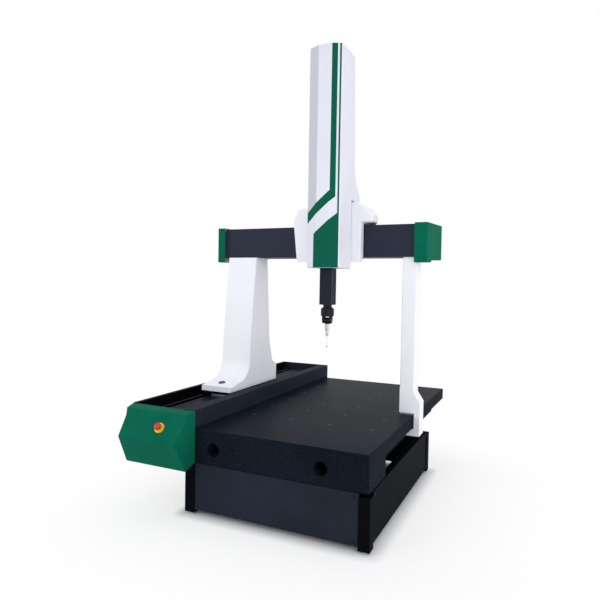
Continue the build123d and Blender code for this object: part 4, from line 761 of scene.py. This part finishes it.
# %% Screws on the shroud and the column
SHROUD_SCREW_HALF = 85 * MM
SHROUD_SCREW_DROPS = (70 * MM, 105 * MM)
shroud_low, shroud_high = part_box("carriage_shroud")
shroud_middle = (shroud_low.x + shroud_high.x) / 2
shroud_xs = [shroud_middle - SHROUD_SCREW_HALF, shroud_middle + SHROUD_SCREW_HALF]
shroud_zs = [shroud_high.z - drop for drop in SHROUD_SCREW_DROPS]
shroud_starts = grid(shroud_xs, shroud_zs, shroud_high.y + RAY_START, "xzy")
screw_set("screws_shroud", "carriage_shroud", shroud_starts, (0, -1, 0), stainless, "carriage")

COLUMN_MARGIN = 9 * MM
COLUMN_DROPS = (14 * MM, 250 * MM, 460 * MM)
rear_low, rear_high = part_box("z_cover_rear")
rear_xs = inset_ends(rear_low.x, rear_high.x, COLUMN_MARGIN)
rear_zs = [rear_high.z - drop for drop in COLUMN_DROPS]
rear_starts = grid(rear_xs, rear_zs, rear_high.y + RAY_START, "xzy")
screw_set("screws_column", "z_cover_rear", rear_starts, (0, -1, 0), stainless, "carriage")

# %% [markdown]
# The leg's cover has a screw near each corner of its back, and the rays find how deep the back lies there.
# It is the last set, so the pattern head is removed after it.

# %% Screws on the leg's cover
LEG_MARGIN = 18 * MM
LEG_RISE = 30 * MM
LEG_DROP = 25 * MM
leg_low, leg_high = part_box("left_leg_cover")
leg_xs = inset_ends(leg_low.x, leg_high.x, LEG_MARGIN)
leg_starts = grid(leg_xs, [leg_low.z + LEG_RISE, leg_high.z - LEG_DROP], leg_high.y + RAY_START, "xzy")
screw_set("screws_leg_cover", "left_leg_cover", leg_starts, (0, -1, 0), stainless, "bridge")
bpy.data.objects.remove(screw_head)

# %% [markdown]
# The flare of the left leg has a small round hole, edged with a rubber grommet.
# A torus is the natural start for a lip. A ray beside the hole finds the slope of the sheet, and turns it.

# %% Grommet in the leg cover
GROMMET_RADIUS = 14.0 * MM
LIP_RADIUS = 2.6 * MM
RING_STEPS = 36
LIP_STEPS = 10
SMOOTH_BELOW = math.radians(40)
HOLE_BACK = 52 * MM
BESIDE_SHARE = 1.6
hole_place = Vector(((leg_low.x + leg_high.x) / 2, leg_low.y + HOLE_BACK, 0))
above_sheet = hole_place + Vector((GROMMET_RADIUS * BESIDE_SHARE, 0, 1))
edge_place, edge_normal = seat("left_leg_cover", above_sheet, (0, 0, -1))
deselect()
bpy.ops.mesh.primitive_torus_add(
    major_radius=GROMMET_RADIUS, minor_radius=LIP_RADIUS, major_segments=RING_STEPS, minor_segments=LIP_STEPS
)
grommet = bpy.context.object
grommet.rotation_mode = "QUATERNION"
grommet.rotation_quaternion = edge_normal.to_track_quat("Z", "Y")
grommet.location = (hole_place.x, hole_place.y, edge_place.z)
bpy.ops.object.shade_smooth_by_angle(angle=SMOOTH_BELOW)
finish_piece("leg_grommet", mount_rubber, "bridge")
print("grommet at", [round(v, 3) for v in (hole_place.x, hole_place.y, edge_place.z)])

# %% [markdown]
# A stop button that unlocks with a twist has three curved arrows moulded on its head, in low relief.
# They could be cut from the head, but that mesh belongs to the model, so they are laid on it instead.
# One arrow is shaped flat first, from a thin grid: its shaft is narrow, and past the neck it is wide and
# draws in to a point. Its length is 1 here, and becomes an angle when the arrow is wrapped.

# %% One flat arrow
ARROW_HALF = 0.55 * MM
ARROW_WING = 1.5 * MM
ARROW_STEPS = 14
ARROW_NECK_SHARE = 0.68

deselect()
bpy.ops.mesh.primitive_grid_add(x_subdivisions=ARROW_STEPS, y_subdivisions=2, size=2)
flat_arrow = bpy.context.object
for point in flat_arrow.data.vertices:
    point.co.x = (point.co.x + 1) / 2
    taper = (1 - point.co.x) / (1 - ARROW_NECK_SHARE)
    point.co.y *= ARROW_HALF if point.co.x < ARROW_NECK_SHARE else ARROW_WING * taper
print("points of one arrow:", len(flat_arrow.data.vertices))

# %% [markdown]
# Three copies are wrapped round the axis that the button turns on, which the model's twist joint gives.
# Each point is dropped onto the head's dome with a ray. Then the three are joined and get their thickness.

# %% Arrows on the stop button
ARROW_COUNT = 3
ARROW_RADIUS = 8.6 * MM
ARROW_SWEEP = math.radians(74)
RELIEF = 0.35 * MM
ABOVE_HEAD = 60 * MM

twist = next(joint for joint in frame["record"]["behaviour"]["joints"] if joint["name"] == "stop_twist")
stop_axis = Vector(twist["axis"]).normalized()
stop_place = Vector(twist["pos_m"])
stop_turn = stop_axis.to_track_quat("Z", "Y")
arrows = []
for index in range(ARROW_COUNT):
    arrow = flat_arrow.copy()
    arrow.data = flat_arrow.data.copy()
    bpy.context.scene.collection.objects.link(arrow)
    for point in arrow.data.vertices:
        radius = ARROW_RADIUS + point.co.y
        angle = point.co.x * ARROW_SWEEP + index * math.tau / ARROW_COUNT
        above_dome = Vector((radius * math.cos(angle), radius * math.sin(angle), ABOVE_HEAD))
        above_dome.rotate(stop_turn)
        dome_place, _ = seat("estop_head", stop_place + above_dome, -stop_axis)
        point.co = dome_place + stop_axis * RELIEF / 2
    arrows.append(arrow)
bpy.data.objects.remove(flat_arrow)
deselect()
for arrow in arrows:
    arrow.select_set(True)
bpy.context.view_layer.objects.active = arrows[0]
bpy.ops.object.join()
raised = bpy.context.object.modifiers.new("relief", "SOLIDIFY")
raised.thickness = RELIEF
raised.offset = 0
bpy.ops.object.modifier_apply(modifier=raised.name)
finish_piece("stop_arrows", red_abs, "stop_button")
print("arrows on the stop button:", ARROW_COUNT)

# %% [markdown]
# The photo has a pure white ground. A lit floor alone would come out grey, and more light would bleach
# the covers. So the ground glows white, but only for rays from the camera and for what a glossy surface
# mirrors. All else gets no light from that glow. One function picks those rays, for the floor and the world.

# %% Rays that see the ground
def seen_or_mirrored(owner):
    """One for rays from the camera and for those that a glossy or clear surface sends on, else zero."""
    rays = add_node(owner, "ShaderNodeLightPath")
    direct = add_node(
        owner,
        "ShaderNodeMath",
        {"operation": "MAXIMUM"},
        {0: rays.outputs["Is Camera Ray"], 1: rays.outputs["Is Glossy Ray"]},
    )
    shown = add_node(
        owner,
        "ShaderNodeMath",
        {"operation": "MAXIMUM"},
        {0: direct.outputs["Value"], 1: rays.outputs["Is Transmission Ray"]},
    )
    return shown.outputs["Value"]


print("the ground glows for camera, glossy and transmission rays")

# %% [markdown]
# The floor is a flat disc of white paper, so wide that its edge doesn't show.
# It lies a hair below the feet, because two faces in one plane would flicker.

# %% Floor
FLOOR_RADIUS = 14
FLOOR_SIDES = 96
FLOOR_DROP = 0.5 * MM
deselect()
bpy.ops.mesh.primitive_circle_add(
    vertices=FLOOR_SIDES, radius=FLOOR_RADIUS, fill_type="NGON", location=(0, 0, -FLOOR_DROP)
)
floor = bpy.context.object
floor.name = "floor"
paper, paper_shader, paper_place = start_finish("white studio floor", 0.9)
paper_shader.inputs["Base Color"].default_value = linear("F7F7F8")
floor.data.materials.append(paper)
print("floor", FLOOR_RADIUS, "m in radius")

# %% [markdown]
# The share of its glow grows with the distance from the stand: none below the stand, most of it a hand's
# breadth away, all of it further off. So the machine keeps its shadow where it stands, and no horizon shows.
# The distance to a box is worked out per point: fold the plane into one quarter, take off the box's half
# sizes, drop what is negative, and measure what is left.

# %% How the glow fades in
stand_low, stand_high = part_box("stand_frame")
stand_middle = (stand_low + stand_high) / 2
stand_half = (stand_high - stand_low) / 2
centered = add_node(
    paper,
    "ShaderNodeVectorMath",
    {"operation": "SUBTRACT", 1: (stand_middle.x, stand_middle.y, 0)},
    {0: paper_place},
)
mirrored = add_node(paper, "ShaderNodeVectorMath", {"operation": "ABSOLUTE"}, {0: centered.outputs["Vector"]})
beyond = add_node(
    paper,
    "ShaderNodeVectorMath",
    {"operation": "SUBTRACT", 1: (stand_half.x, stand_half.y, 0)},
    {0: mirrored.outputs["Vector"]},
)
outside = add_node(
    paper, "ShaderNodeVectorMath", {"operation": "MAXIMUM", 1: (0, 0, 0)}, {0: beyond.outputs["Vector"]}
)
distance = add_node(paper, "ShaderNodeVectorMath", {"operation": "LENGTH"}, {0: outside.outputs["Vector"]})
fade = add_node(
    paper,
    "ShaderNodeValToRGB",
    {"stops": [(0.0, "000000"), (0.05, "DADADA"), (0.6, "FFFFFF")]},
    {"Fac": distance.outputs["Value"]},
)
print("half sizes of the stand:", [round(v, 3) for v in stand_half])

# %% [markdown]
# Now the paper has to glow by that share. A second, glowing disc could lie under it, but a mix shader does
# it in one surface: at zero it shows the lit paper, at one the glow, and between the two a blend.

# %% Glow of the floor
glow_share = add_node(
    paper,
    "ShaderNodeMath",
    {"operation": "MULTIPLY"},
    {0: fade.outputs["Color"], 1: seen_or_mirrored(paper)},
)
glow = add_node(paper, "ShaderNodeEmission", {"Color": linear("FFFFFF"), "Strength": 1.0})
blend = add_node(
    paper,
    "ShaderNodeMixShader",
    links={0: glow_share.outputs["Value"], 1: paper_shader.outputs["BSDF"], 2: glow.outputs["Emission"]},
)
paper_output = paper.node_tree.nodes["Material Output"]
paper.node_tree.links.new(blend.outputs["Shader"], paper_output.inputs["Surface"])
print("nodes of the floor's paper:", len(paper.node_tree.nodes))

# %% [markdown]
# The world does the same: white where it is seen or mirrored, and a little weaker and cooler as light,
# so that the white covers keep their shading.

# %% World
AMBIENT = 0.77
world = bpy.data.worlds.new("studio")
bpy.context.scene.world = world
world.use_nodes = True
backdrop = world.node_tree.nodes["Background"]
backdrop.inputs["Color"].default_value = linear("FFFFFF")
backdrop.inputs["Strength"].default_value = 1.0
ambient = add_node(world, "ShaderNodeBackground", {"Color": linear("F4F6FC"), "Strength": AMBIENT})
either = add_node(
    world,
    "ShaderNodeMixShader",
    links={0: seen_or_mirrored(world), 1: ambient.outputs["Background"], 2: backdrop.outputs["Background"]},
)
world.node_tree.links.new(either.outputs["Shader"], world.node_tree.nodes["World Output"].inputs["Surface"])
print("ambient light:", AMBIENT)

# %% [markdown]
# Four large soft boxes shape the covers, as in a product studio. The two in front are uneven,
# so that the faces of the column differ, one stands on the right for the sides, and one hangs overhead.

# %% Lamps
WIDE_BOX = 2.2
SIDE_BOX = 2.0


def lamp(name, place, target, size, power):
    """A square soft box that looks at a point."""
    data = bpy.data.lights.new(name, "AREA")
    data.size = size
    data.energy = power
    light = bpy.data.objects.new(name, data)
    light.location = place
    light.rotation_mode = "QUATERNION"
    light.rotation_quaternion = (Vector(target) - Vector(place)).to_track_quat("-Z", "Y")
    bpy.context.scene.collection.objects.link(light)


lamp("front left", (-2.2, -3.4, 1.8), (0, 0, 0.8), WIDE_BOX, 26)
lamp("front right", (2.6, -3.0, 1.6), (0, 0, 0.8), WIDE_BOX, 22)
lamp("side", (3.8, 0.0, 1.0), (0, 0, 0.8), SIDE_BOX, 24)
lamp("overhead", (-0.3, 0.2, 4.2), (0, 0, 0), WIDE_BOX, 14)
print("soft boxes:", len(bpy.data.lights))
